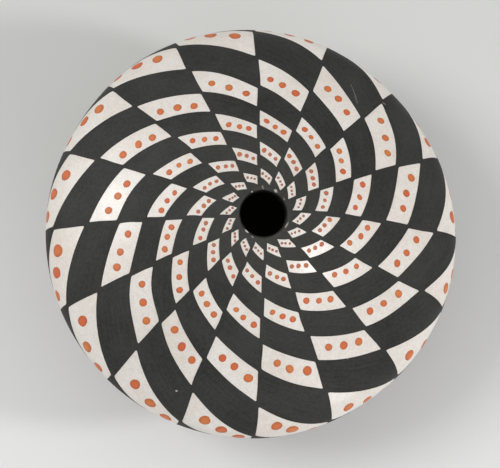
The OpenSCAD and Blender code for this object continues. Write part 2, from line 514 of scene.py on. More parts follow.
@dataclass(frozen=True)
class PotShape:
    """The outside of the pot. Reach is the way along the section from the top, lift stands off it."""

    body_d: float = 130 * MM
    belly_h: float = 33 * MM
    dome_rise: float = 34 * MM
    belly_r: float = 16 * MM
    foot_d: float = 50 * MM
    mouth_d: float = 14 * MM
    lip_bevel: float = 0.5 * MM
    slip_t: float = 0.25 * MM
    slip_gap: float = 1 * MM
    waves: tuple[HandWave, ...] = (
        HandWave(0.05 * MM, 2, 21.0, 0.7),
        HandWave(0.04 * MM, 3, -34.0, 2.1),
        HandWave(0.03 * MM, 5, 55.0, 4.4),
        HandWave(0.02 * MM, 9, 90.0, 1.3),
    )
    presses: tuple[Press, ...] = (
        Press(41, 30, -2.0 * MM),
        Press(148, 18, -0.7 * MM),
        Press(235, 45, 0.7 * MM),
        Press(302, 20, -0.45 * MM),
    )
    press_h: float = 14 * MM
    lip_fade: float = 12 * MM
    foot_fade: tuple[float, float] = (1 * MM, 18 * MM)

    @property
    def mouth_r(self) -> float:
        """Half the mouth's width."""
        return self.mouth_d / 2

    @property
    def belly_centre(self) -> float:
        """How far from the axis the belly's round is centred."""
        return self.body_d / 2 - self.belly_r

    @property
    def height(self) -> float:
        """The top of the dome, if it had no mouth."""
        return self.belly_h + self.dome_rise

    @property
    def dome_centre(self) -> float:
        """The height of the dome's centre, where its round runs into the belly's."""
        rise = self.dome_rise - self.belly_r
        return self.belly_h - (self.belly_centre**2 - rise**2) / (2 * rise)

    @property
    def lower_centre(self) -> float:
        """The height of the lower round's centre, found by halving.

        Returns:
            The height from which one round meets the foot and runs into the belly's.
        """
        low, high = self.belly_h, SEARCH_SPAN * self.body_d
        for _ in range(HALVINGS):
            middle = (low + high) / 2
            apart = math.hypot(self.belly_centre, middle - self.belly_h)
            if math.hypot(self.foot_d / 2, middle) - self.belly_r < apart:
                low = middle
            else:
                high = middle
        return (low + high) / 2

    @property
    def stretches(self) -> tuple[Stretch, ...]:
        """The rounds of the section, which run into each other.

        Returns:
            The lip, dome, belly and lower rounds, each with where it starts and which way it faces.
        """
        dome_r = self.height - self.dome_centre
        lip_turn = math.asin((self.mouth_r + self.lip_bevel) / dome_r)
        lip_r = self.lip_bevel / (1 + math.sin(lip_turn))
        lip_reach, lip_round = dome_r * lip_turn, lip_r * (lip_turn + math.pi / 2)
        belly_turn = math.atan2(self.belly_centre, self.belly_h - self.dome_centre)
        lower_r = math.hypot(self.foot_d / 2, self.lower_centre)
        lower_turn = math.pi - math.atan2(self.belly_centre, self.lower_centre - self.belly_h)
        foot_turn = math.pi - math.asin(self.foot_d / 2 / lower_r)
        dome_end = dome_r * belly_turn
        belly_end = dome_end + self.belly_r * (lower_turn - belly_turn)
        return (
            Stretch("Lip", lip_reach - lip_round, lip_round, lip_r, -math.pi / 2),
            Stretch("Dome", lip_reach, dome_end - lip_reach, dome_r, lip_turn),
            Stretch("Belly", dome_end, belly_end - dome_end, self.belly_r, belly_turn),
            Stretch("Lower", belly_end, lower_r * (foot_turn - lower_turn), lower_r, lower_turn),
        )

    @property
    def lip_reach(self) -> float:
        """Where the dome meets the lip."""
        return self.stretches[1].start

    @property
    def bore_reach(self) -> float:
        """Where the lip meets the mouth's straight wall."""
        return self.stretches[0].start

    @property
    def foot_reach(self) -> float:
        """Where the lower round meets the foot."""
        return self.stretches[3].start + self.stretches[3].length

    @property
    def bore_top(self) -> float:
        """The height of the top of the mouth's straight wall."""
        lip, dome = self.stretches[0], self.stretches[1]
        return self.dome_centre + (dome.radius - lip.radius) * math.cos(dome.turn)

    def section(self, reach: Points) -> tuple[Points, Points]:
        """The section at some reaches.

        Args:
            reach: Ways along the section, in metres.

        Returns:
            Distances from the axis and heights.
        """
        out = np.full_like(reach, self.mouth_r)
        up = self.bore_top + np.minimum(reach - self.bore_reach, 0.0)
        for stretch in self.stretches:
            turned = stretch.turn + np.clip(reach - stretch.start, 0, stretch.length) / stretch.radius
            out = out + stretch.radius * (np.sin(turned) - math.sin(stretch.turn))
            up = up + stretch.radius * (np.cos(turned) - math.cos(stretch.turn))
        return out, up

    def skin_tree(self) -> GeometrySheet:
        """The tree that lays flat geometry on the pot: angle, reach and lift become a place.

        Returns:
            The tree, with named inputs for every size of the section.
        """
        sheet = GeometrySheet("Lay on the pot")
        geometry = sheet.take("Geometry", "NodeSocketGeometry")
        angle, reach, lift = (sheet.take(name) for name in ("Angle", "Reach", "Lift"))
        out: Socket = sheet.take("Mouth radius", start=self.mouth_r)
        bore_top = sheet.take("Bore top", start=self.bore_top)
        bore_reach = sheet.take("Bore reach", start=self.bore_reach)
        down_bore = sheet.math("MINIMUM", sheet.math("SUBTRACT", reach, bore_reach), 0.0)
        up = sheet.math("ADD", bore_top, down_bore)
        facing: Value = -math.pi / 2
        for stretch in self.stretches:
            start = sheet.take(f"{stretch.name} start", start=stretch.start)
            length = sheet.take(f"{stretch.name} length", start=stretch.length)
            radius = sheet.take(f"{stretch.name} radius", start=stretch.radius)
            turn = sheet.take(f"{stretch.name} turn", start=stretch.turn)
            past = sheet.math("MAXIMUM", sheet.math("SUBTRACT", reach, start), 0.0)
            along = sheet.math("MINIMUM", past, length)
            swept = sheet.math("DIVIDE", along, radius)
            turned = sheet.math("ADD", turn, swept)
            wide = sheet.math("SUBTRACT", sheet.math("SINE", turned), sheet.math("SINE", turn))
            tall = sheet.math("SUBTRACT", sheet.math("COSINE", turned), sheet.math("COSINE", turn))
            out = sheet.math("MULTIPLY_ADD", wide, radius, out)
            up = sheet.math("MULTIPLY_ADD", tall, radius, up)
            facing = sheet.math("ADD", facing, swept)
        lift = sheet.math("ADD", lift, self._hand_lift(sheet, angle, reach))
        out = sheet.math("MULTIPLY_ADD", sheet.math("SINE", facing), lift, out)
        up = sheet.math("MULTIPLY_ADD", sheet.math("COSINE", facing), lift, up)
        out = sheet.math("ADD", out, self.pressed(sheet, angle, up))
        across, ahead = sheet.math("COSINE", angle), sheet.math("SINE", angle)
        spot = sheet.vector(sheet.math("MULTIPLY", out, across), sheet.math("MULTIPLY", out, ahead), up)
        lay = sheet.vector(across, ahead, sheet.scaled(reach, 1 / MM))
        marked = sheet.store(geometry, Trait.LAY, lay)
        moved = sheet.use("GeometryNodeSetPosition", {"Geometry": marked, "Position": spot})
        turned_out = sheet.use("GeometryNodeFlipFaces", {"Mesh": moved})
        joined = sheet.use("GeometryNodeMergeByDistance", {"Geometry": turned_out, "Distance": WELD})
        sheet.give("Geometry", "NodeSocketGeometry", joined)
        return sheet

    def _hand_lift(self, sheet: GeometrySheet, angle: Socket, reach: Socket) -> Socket:
        """How far the hand-worked wall stands off the true section.

        Args:
            sheet: The tree.
            angle: The angle round the pot.
            reach: The way along the section.

        Returns:
            The lift, which is smaller than the slip is thick and fades out at the lip and the foot.
        """
        parts: list[Socket] = []
        for wave in self.waves:
            turned = sheet.scaled(angle, wave.around, wave.phase)
            swing = sheet.math("SINE", sheet.math("MULTIPLY_ADD", reach, wave.down, turned))
            parts.append(sheet.scaled(swing, wave.height))
        raised = sheet.total(*parts)
        end, start = self.foot_fade
        low = sheet.between(reach, self.lip_reach, self.lip_reach + self.lip_fade)
        high = sheet.between(reach, self.foot_reach - end, self.foot_reach - start)
        return sheet.math("MULTIPLY", raised, sheet.math("MULTIPLY", low, high))

    def pressed(self, sheet: GeometrySheet, angle: Socket, up: Socket) -> Socket:
        """How far the belly is pressed out of round.

        Args:
            sheet: The tree.
            angle: The angle round the pot.
            up: The height.

        Returns:
            The way outwards, which fades out above and below the belly.
        """
        parts: list[Socket] = []
        for press in self.presses:
            away = sheet.math("SUBTRACT", angle, math.radians(press.angle))
            off = sheet.math("SUBTRACT", sheet.math("COSINE", away), 1.0)
            near = sheet.math("EXPONENT", sheet.scaled(off, 2 / math.radians(press.wide) ** 2))
            parts.append(sheet.scaled(near, press.depth))
        level = sheet.scaled(up, 1 / self.press_h, -self.belly_h / self.press_h)
        fade = sheet.math("EXPONENT", sheet.scaled(sheet.math("MULTIPLY", level, level), -1.0))
        return sheet.math("MULTIPLY", sheet.total(*parts), fade)


# Finishes

@dataclass(frozen=True)
class Grain:
    """Soft noise in a finish: bumps per metre, its finer layers, how strong they are, and its stretch.

    Tone, gloss and relief are its parts in the finish's colour, in its roughness and in its relief.
    """

    scale: float
    detail: float = 2.0
    rough: float = 0.5
    stretch: tuple[float, float, float] = (1.0, 1.0, 1.0)
    tone: float = 0.0
    gloss: float = 0.0
    relief: float = 0.0

    def at(self, sheet: NodeSheet, spot: Socket) -> Socket:
        """The noise at a place.

        Args:
            sheet: The material's sheet.
            spot: The place.

        Returns:
            Its value from 0 to 1.
        """
        return sheet.noise(sheet.stretched(spot, self.stretch), self.scale, self.detail, self.rough)


@dataclass(frozen=True)
class Cloud(Grain):
    """Noise that shows as patches: where a patch starts, where it is full, and how plain it is."""

    low: float = 0.35
    high: float = 0.7
    plain: float = 1.0

    def share(self, sheet: NodeSheet, spot: Socket) -> Socket:
        """How much of the patches shows at a place.

        Args:
            sheet: The material's sheet.
            spot: The place.

        Returns:
            The share from 0 to 1.
        """
        return sheet.scaled(sheet.between(self.at(sheet, spot), self.low, self.high), self.plain)


@dataclass(frozen=True)
class Finish:
    """What every finish shares: a name, a gloss, and how strong and how deep its relief is."""

    name: str
    rough: float
    specular: float
    relief: float
    depth: float

    def start(self) -> tuple[bpy.types.Material, NodeSheet, bpy.types.Node]:
        """Makes an empty node material.

        Returns:
            The material, its sheet and its shader.
        """
        material = bpy.data.materials.new(self.name)
        material.use_nodes = True
        sheet = NodeSheet(material.node_tree)
        shader = next(n for n in material.node_tree.nodes if n.type == "BSDF_PRINCIPLED")
        shader.inputs["Roughness"].default_value = self.rough
        shader.inputs["Specular IOR Level"].default_value = self.specular
        return material, sheet, shader

    def bump(self, sheet: NodeSheet, shader: bpy.types.Node, *parts: tuple[Socket, float]) -> None:
        """Adds relief to a shader.

        Args:
            sheet: The material's sheet.
            shader: The shader.
            parts: Noises and other shares, each with its part in the relief.
        """
        feeds = {"Height": sheet.weighed(*parts), "Strength": self.relief, "Distance": self.depth}
        sheet.feed(shader.inputs["Normal"], sheet.use("ShaderNodeBump", feeds))

    def gloss(self, sheet: NodeSheet, shader: bpy.types.Node, *parts: tuple[Socket, float]) -> None:
        """Makes a shader's roughness uneven.

        Args:
            sheet: The material's sheet.
            shader: The shader.
            parts: Noises, each with how much it changes the roughness.
        """
        even = self.rough - sum(gain for _, gain in parts) / 2
        sheet.feed(shader.inputs["Roughness"], sheet.math("ADD", sheet.weighed(*parts), even))

    @staticmethod
    def tinted(sheet: NodeSheet, spot: Socket, colour: Value, *coats: tuple[Cloud, Colour]) -> Value:
        """Lays patches of other colours over a colour.

        Args:
            sheet: The material's sheet.
            spot: The place on the object.
            colour: The colour underneath.
            coats: The patches with their colours, in order.

        Returns:
            The colour with its patches.
        """
        for cloud, tint in coats:
            colour = sheet.blend(cloud.share(sheet, spot), colour, tint)
        return colour

    @staticmethod
    def spot(sheet: NodeSheet) -> Socket:
        """The place on the object, in metres.

        Args:
            sheet: The material's sheet.

        Returns:
            The Object coordinates.
        """
        return sheet.add("ShaderNodeTexCoord").outputs["Object"]

    @staticmethod
    def trait(sheet: NodeSheet, trait: Trait, out: str = "Vector") -> Socket:
        """One of the mesh's own attributes.

        Args:
            sheet: The material's sheet.
            trait: The attribute.
            out: Which form of it.

        Returns:
            Its value.
        """
        return sheet.use("ShaderNodeAttribute", {}, out, attribute_name=trait.value)


@dataclass(frozen=True)
class SlipFinish(Finish):
    """White slip, rubbed with a stone: warm mottling, faint specks and rubbing streaks."""

    name: str = "white_slip_polished"
    rough: float = 0.33
    specular: float = 0.5
    relief: float = 0.25
    depth: float = 0.04 * MM
    pale: Colour = linear(234, 230, 224)
    warm: Colour = linear(228, 221, 213)
    blush: Colour = linear(231, 219, 212)
    speck: Colour = linear(172, 154, 136)
    cloud: Cloud = Cloud(55.0, 4.0, low=0.35, high=0.68)
    flush: Cloud = Cloud(31.0, 3.0, stretch=(1.0, 1.0, 1.4), low=0.5, high=0.75, plain=0.6)
    mottle: Cloud = Cloud(480.0, 2.0, 0.6, low=0.3, high=0.72, plain=0.12)
    powder: Cloud = Cloud(1700.0, 2.0, 0.7, low=0.32, high=0.68, plain=0.2)
    grains: Cloud = Cloud(1300.0, 1.0, low=0.7, high=0.8, plain=0.36)
    streak: Grain = Grain(1.0, 3.0, 0.6, (5.0, 5.0, 0.9), gloss=0.16, relief=0.5)
    patch: Grain = Grain(90.0, 2.0, gloss=0.08)
    grit: Grain = Grain(700.0, 3.0, relief=0.5)

    def material(self) -> bpy.types.Material:
        """The finish as a material.

        Returns:
            The material.
        """
        material, sheet, shader = self.start()
        spot = self.spot(sheet)
        colour = self.tinted(
            sheet,
            spot,
            self.pale,
            (self.cloud, self.warm),
            (self.flush, self.blush),
            (self.mottle, self.speck),
            (self.powder, self.speck),
            (self.grains, self.speck),
        )
        sheet.feed(shader.inputs["Base Color"], colour)
        streak = self.streak.at(sheet, self.trait(sheet, Trait.LAY))
        patch, grit = self.patch.at(sheet, spot), self.grit.at(sheet, spot)
        self.gloss(sheet, shader, (streak, self.streak.gloss), (patch, self.patch.gloss))
        self.bump(sheet, shader, (streak, self.streak.relief), (grit, self.grit.relief))
        return material


@dataclass(frozen=True)
class Mark:
    """A chip or scratch that shows the slip: its angle, reach and slant, its size and how plain it is.

    Angles are in degrees. A slant of 0 runs round the pot and one of 90 runs down it. The depth takes in
    the waves of the wall, and the solid share of the mark is inside its ragged edge.
    """

    angle: float
    reach: float
    length: float
    width: float
    slant: float = 0.0
    plain: float = 1.0
    depth: float = 3 * MM
    solid: float = 0.6

    def share(self, sheet: NodeSheet, spot: Socket, ragged: Socket, shape: PotShape) -> Socket:
        """How much of the slip shows.

        Args:
            sheet: The material's sheet.
            spot: The place on the object.
            ragged: Noise that breaks the mark's outline.
            shape: The pot.

        Returns:
            The share from 0 to 1.
        """
        turn, lean = math.radians(self.angle), math.radians(self.slant)
        out, up = shape.section(self.reach + np.array([-0.5, 0.0, 0.5]) * shape.lip_bevel)
        ahead = Vector((math.cos(turn), math.sin(turn), 0.0))
        round_pot = Vector((-math.sin(turn), math.cos(turn), 0.0))
        down_pot = (ahead * float(out[2] - out[0]) + Vector((0.0, 0.0, float(up[2] - up[0])))).normalized()
        along = round_pot * math.cos(lean) + down_pot * math.sin(lean)
        across = down_pot * math.cos(lean) - round_pot * math.sin(lean)
        feeds = {
            "Vector": spot,
            "Location": ahead * float(out[1]) + Vector((0.0, 0.0, float(up[1]))),
            "Rotation": Matrix((along, across, along.cross(across))).transposed().to_euler(),
            "Scale": (self.length / 2, self.width / 2, self.depth),
        }
        inside = sheet.use("ShaderNodeMapping", feeds, vector_type="TEXTURE")
        far = sheet.add("ShaderNodeVectorMath", operation="LENGTH")
        sheet.feed(far.inputs[0], inside)
        edge = sheet.math("ADD", far.outputs["Value"], ragged)
        return sheet.scaled(sheet.between(edge, 1.0, self.solid), self.plain)


@dataclass(frozen=True)
class PaintFinish(Finish):
    """Black mineral paint: brushed in strokes, with painted sheen that makes it paler round the mouth and
    painted shade near black down the bore, rubbed at the lip, chipped and scratched.
    """

    name: str = "black_mineral_paint"
    rough: float = 0.62
    specular: float = 0.13
    relief: float = 0.3
    depth: float = 0.04 * MM
    deep: Colour = linear(40, 40, 38)
    thin: Colour = linear(59, 59, 57)
    # The paler black serves both the real rubbing at the lip and the painted sheen towards the mouth.
    rubbed: Colour = linear(78, 77, 72)
    bare: Colour = linear(190, 184, 172)
    # Painted shade: the near-black colour of the paint down the bore.
    bore: Colour = linear(9, 9, 8)
    streak: Grain = Grain(1.0, 3.0, 0.6, (2.2, 22.0, 3.7), tone=0.3, gloss=0.2, relief=0.6)
    cloud: Grain = Grain(70.0, 3.0, tone=0.3)
    fleck: Grain = Grain(1100.0, 4.0, 0.7, tone=0.4)
    thin_between: tuple[float, float] = (0.36, 0.64)
    smear: Cloud = Cloud(420.0, 3.0, 0.65, low=0.3, high=0.75)
    grit: Grain = Grain(800.0, 3.0, relief=0.4)
    # Painted sheen: how much paler the paint is painted towards the mouth, and the reaches where it starts
    # and where it is full.
    painted_sheen: float = 0.2
    painted_sheen_from: float = 36 * MM
    painted_sheen_to: float = 10 * MM
    chip_edge: Grain = Grain(2600.0, 3.0, 0.6)
    chip_ragged: float = 1.6
    chip_relief: float = -0.6
    lip_marks: tuple[Mark, ...] = (
        Mark(225, -0.05 * MM, 1.5 * MM, 0.55 * MM),
        Mark(60, 0.5 * MM, 1.5 * MM, 0.95 * MM, 30, 0.75),
        Mark(89, 0.6 * MM, 1.5 * MM, 0.6 * MM, 80, 0.35),
        Mark(115, 0.0, 0.7 * MM, 0.5 * MM, 0, 0.8),
        Mark(332, 0.35 * MM, 2.2 * MM, 0.7 * MM, 8, 0.5),
        Mark(34, 0.3 * MM, 1.0 * MM, 0.5 * MM, 0, 0.35),
        Mark(243, 0.4 * MM, 1.2 * MM, 0.5 * MM, 0, 0.35),
    )
    field_marks: tuple[Mark, ...] = (
        Mark(51.5, 54.2 * MM, 9.0 * MM, 0.16 * MM, 44, 0.5),
        Mark(49.7, 52.2 * MM, 5.0 * MM, 0.12 * MM, 47, 0.45),
        Mark(42.0, 60.4 * MM, 1.7 * MM, 0.3 * MM, -25, 0.5),
        Mark(242.5, 62.2 * MM, 0.75 * MM, 0.65 * MM, 0, 0.9),
        Mark(301.0, 53.2 * MM, 0.6 * MM, 0.5 * MM, 0, 0.6),
    )

    def material(self, shape: PotShape) -> bpy.types.Material:
        """The finish as a material.

        Args:
            shape: The pot, which places the marks.

        Returns:
            The material.
        """
        material, sheet, shader = self.start()
        spot, stroke = self.spot(sheet), self.trait(sheet, Trait.STROKE)
        streak = self.streak.at(sheet, stroke)
        cloud, fleck = self.cloud.at(sheet, spot), self.fleck.at(sheet, spot)
        mixed = sheet.weighed(
            (streak, self.streak.tone), (cloud, self.cloud.tone), (fleck, self.fleck.tone)
        )
        colour = sheet.blend(sheet.between(mixed, *self.thin_between), self.deep, self.thin)
        rubbed = self.trait(sheet, Trait.RUBBED, "Fac")
        rub = sheet.math("MULTIPLY", rubbed, self.smear.share(sheet, spot))
        reach = sheet.split(self.trait(sheet, Trait.LAY))[2]
        # Painted sheen: the paint turns paler towards the mouth. The same paler colour also shows the real
        # rubbing at the lip.
        near = sheet.between(reach, self.painted_sheen_from / MM, self.painted_sheen_to / MM)
        painted_sheen = sheet.scaled(near, self.painted_sheen)
        colour = sheet.blend(sheet.math("MAXIMUM", rub, painted_sheen), colour, self.rubbed)
        # Painted shade: the paint goes near black down the bore.
        colour = sheet.blend(self.trait(sheet, Trait.BORE, "Fac"), colour, self.bore)
        chip = self._marks(sheet, spot, shape)
        sheet.feed(shader.inputs["Base Color"], sheet.blend(chip, colour, self.bare))
        self.gloss(sheet, shader, (streak, self.streak.gloss))
        brushed, gritty = (streak, self.streak.relief), (self.grit.at(sheet, spot), self.grit.relief)
        self.bump(sheet, shader, brushed, gritty, (chip, self.chip_relief))
        return material

    def _marks(self, sheet: NodeSheet, spot: Socket, shape: PotShape) -> Socket:
        """All chips and scratches together.

        Args:
            sheet: The material's sheet.
            spot: The place on the object.
            shape: The pot.

        Returns:
            The share of slip that shows, from 0 to 1.
        """
        ragged = sheet.scaled(self.chip_edge.at(sheet, spot), self.chip_ragged, -self.chip_ragged / 2)
        lip = [replace(mark, reach=mark.reach + shape.lip_reach) for mark in self.lip_marks]
        shares = [mark.share(sheet, spot, ragged, shape) for mark in (*lip, *self.field_marks)]
        total = shares[0]
        for share in shares[1:]:
            total = sheet.math("MAXIMUM", total, share)
        return total


@dataclass(frozen=True)
class DotFinish(Finish):
    """Orange earth paint, each dab a little different, and thinner where it is tiny."""

    name: str = "orange_earth_paint"
    rough: float = 0.55
    specular: float = 0.35
    relief: float = 0.3
    depth: float = 0.05 * MM
    red: Colour = linear(201, 97, 55)
    yellow: Colour = linear(207, 125, 62)
    rim: Colour = linear(160, 80, 51)
    thin: Colour = linear(152, 104, 88)
    pool: Grain = Grain(600.0, 3.0, gloss=0.2)
    grit: Grain = Grain(1100.0, 3.0, relief=1.0)
    rim_wander: float = 0.9
    rim_between: tuple[float, float] = (0.3, 1.0)
    rim_plain: float = 0.5

    def material(self) -> bpy.types.Material:
        """The finish as a material.

        Returns:
            The material.
        """
        material, sheet, shader = self.start()
        spot = self.spot(sheet)
        colour = sheet.blend(self.trait(sheet, Trait.TINT, "Fac"), self.red, self.yellow)
        pool = self.pool.at(sheet, spot)
        wander = sheet.scaled(pool, self.rim_wander, -self.rim_wander / 2)
        edge = sheet.math("ADD", self.trait(sheet, Trait.RIM, "Fac"), wander)
        rim = sheet.scaled(sheet.between(edge, *self.rim_between), self.rim_plain)
        colour = sheet.blend(rim, colour, self.rim)
        thin = sheet.math("SUBTRACT", 1.0, self.trait(sheet, Trait.THICK, "Fac"))
        sheet.feed(shader.inputs["Base Color"], sheet.blend(thin, colour, self.thin))
        self.gloss(sheet, shader, (pool, self.pool.gloss))
        self.bump(sheet, shader, (self.grit.at(sheet, spot), self.grit.relief))
        return material


@dataclass(frozen=True)
class ClayFinish(Finish):
    """Fired clay, scraped inside: grey-tan with temper grains, smoke clouds and scraping marks, and painted
    shade that darkens it from just above the foot up, for the dark inside seen through the mouth.
    """

    name: str = "fired_clay_scraped"
    rough: float = 0.85
    specular: float = 0.3
    relief: float = 0.5
    depth: float = 0.2 * MM
    light: Colour = linear(196, 180, 160)
    grey: Colour = linear(160, 148, 134)
    smoke: Colour = linear(112, 103, 94)
    # Painted shade: the dark colour that the clay takes above the foot, for the shaded inside.
    painted_inner_shade: Colour = linear(70, 65, 60)
    grain: Colour = linear(92, 78, 66)
    cloud: Cloud = Cloud(60.0, 4.0, low=0.35, high=0.7)
    smoked: Cloud = Cloud(24.0, 3.0, low=0.5, high=0.72, plain=0.7)
    temper: Cloud = Cloud(1100.0, 1.0, low=0.66, high=0.74, plain=0.6)
    scraping: Grain = Grain(260.0, 3.0, 0.6, (0.35, 0.35, 3.0), gloss=0.16, relief=1.0)
    pits: Grain = Grain(650.0, 3.0, relief=0.6)
    # Painted shade: the heights over which the clay darkens, and how much.
    painted_inner_shade_between: tuple[float, float] = (1.5 * MM, 5 * MM)
    painted_inner_shade_plain: float = 0.85

    def material(self) -> bpy.types.Material:
        """The finish as a material.

        Returns:
            The material.
        """
        material, sheet, shader = self.start()
        spot = self.spot(sheet)
        colour = self.tinted(sheet, spot, self.light, (self.cloud, self.grey), (self.smoked, self.smoke))
        # Painted shade: the clay darkens from 1.5 mm to 5 mm up, for the shaded inside seen through the
        # mouth.
        inside = sheet.between(sheet.split(spot)[2], *self.painted_inner_shade_between)
        colour = sheet.blend(sheet.scaled(inside, self.painted_inner_shade_plain), colour, self.painted_inner_shade)
        colour = self.tinted(sheet, spot, colour, (self.temper, self.grain))
        sheet.feed(shader.inputs["Base Color"], colour)
        scraped, pitted = self.scraping.at(sheet, spot), self.pits.at(sheet, spot)
        self.gloss(sheet, shader, (scraped, self.scraping.gloss))
        self.bump(sheet, shader, (scraped, self.scraping.relief), (pitted, self.pits.relief))
        return material


@dataclass(frozen=True)
class FloorFinish(Finish):
    """A plain pale studio floor, with painted shade that makes it a little darker to the back. Seen from
    below it lets the view through.
    """

    name: str = "studio_floor"
    rough: float = 0.9
    specular: float = 0.15
    relief: float = 0.1
    depth: float = 0.05 * MM
    # Painted shade: the floor is painted from the front colour to a darker back colour.
    front: Colour = linear(231, 231, 231)
    back: Colour = linear(212, 213, 210)
    half_depth: float = 90 * MM
    cloud: Grain = Grain(9.0, 3.0)
    uneven: float = 0.2
    grit: Grain = Grain(900.0, 2.0, relief=1.0)

    def material(self) -> bpy.types.Material:
        """The finish as a material.

        Returns:
            The material.
        """
        material, sheet, shader = self.start()
        spot = self.spot(sheet)
        # Painted shade: the floor colour darkens towards the back.
        behind = sheet.between(sheet.split(spot)[1], -self.half_depth, self.half_depth)
        cloud = sheet.scaled(self.cloud.at(sheet, spot), self.uneven, -self.uneven / 2)
        far = sheet.math("ADD", behind, cloud)
        sheet.feed(shader.inputs["Base Color"], sheet.blend(far, self.front, self.back))
        self.bump(sheet, shader, (self.grit.at(sheet, spot), self.grit.relief))
        below = sheet.use("ShaderNodeNewGeometry", {}, "Backfacing")
        mix = sheet.add("ShaderNodeMixShader")
        sheet.feed(mix.inputs[0], below)
        sheet.feed(mix.inputs[1], shader.outputs[0])
        sheet.feed(mix.inputs[2], sheet.add("ShaderNodeBsdfTransparent").outputs[0])
        output = next(n for n in material.node_tree.nodes if n.type == "OUTPUT_MATERIAL")
        sheet.feed(output.inputs["Surface"], mix.outputs[0])
        return material


# The painted pattern

@dataclass(frozen=True)
class HandDrift:
    """How a painter's measure drifts round the pot, and how that grows away from the mouth."""

    ahead: float
    ahead_gain: float
    aside: float
    aside_gain: float

    def at(self, angle: Points, way: Points) -> Points:
        """The drift at some places.

        Args:
            angle: Angles round the pot.
            way: Ways from the mouth, from -0.5 to about 0.5.

        Returns:
            The drift there.
        """
        ahead = (self.ahead + self.ahead_gain * way) * np.cos(angle)
        return ahead + (self.aside + self.aside_gain * way) * np.sin(angle)


@dataclass(frozen=True)
class Lapse:
    """A place where the painter measured by eye: where it is, how far it spreads, and what it shifts.

    Angles are in degrees, and rows are half rows from the mouth.
    """

    angle: float
    row: float
    wide: float
    tall: float
    rows: float = 0.0
    turn: float = 0.0

    def share(self, angle: Points, half_row: Points) -> Points:
        """How strongly it is felt at some places.

        Args:
            angle: Angles round the pot.
            half_row: Half rows from the mouth.

        Returns:
            Shares from 0 to 1.
        """
        away = (angle - math.radians(self.angle) + math.pi) % (2 * math.pi) - math.pi
        round_pot, down_pot = away / math.radians(self.wide), (half_row - self.row) / self.tall
        return np.exp(-(round_pot**2) - down_pot**2)


def lapsed(lapses: tuple[Lapse, ...], angle: Points, half_row: Points) -> tuple[Points, Points]:
    """What several lapses shift together.

    Args:
        lapses: The lapses.
        angle: Angles round the pot.
        half_row: Half rows from the mouth.

    Returns:
        How many half rows and how far round each place is shifted.
    """
    rows, turn = np.zeros_like(angle), np.zeros_like(angle)
    for lapse in lapses:
        share = lapse.share(angle, half_row)
        rows = rows + lapse.rows * share
        turn = turn + math.radians(lapse.turn) * share
    return rows, turn


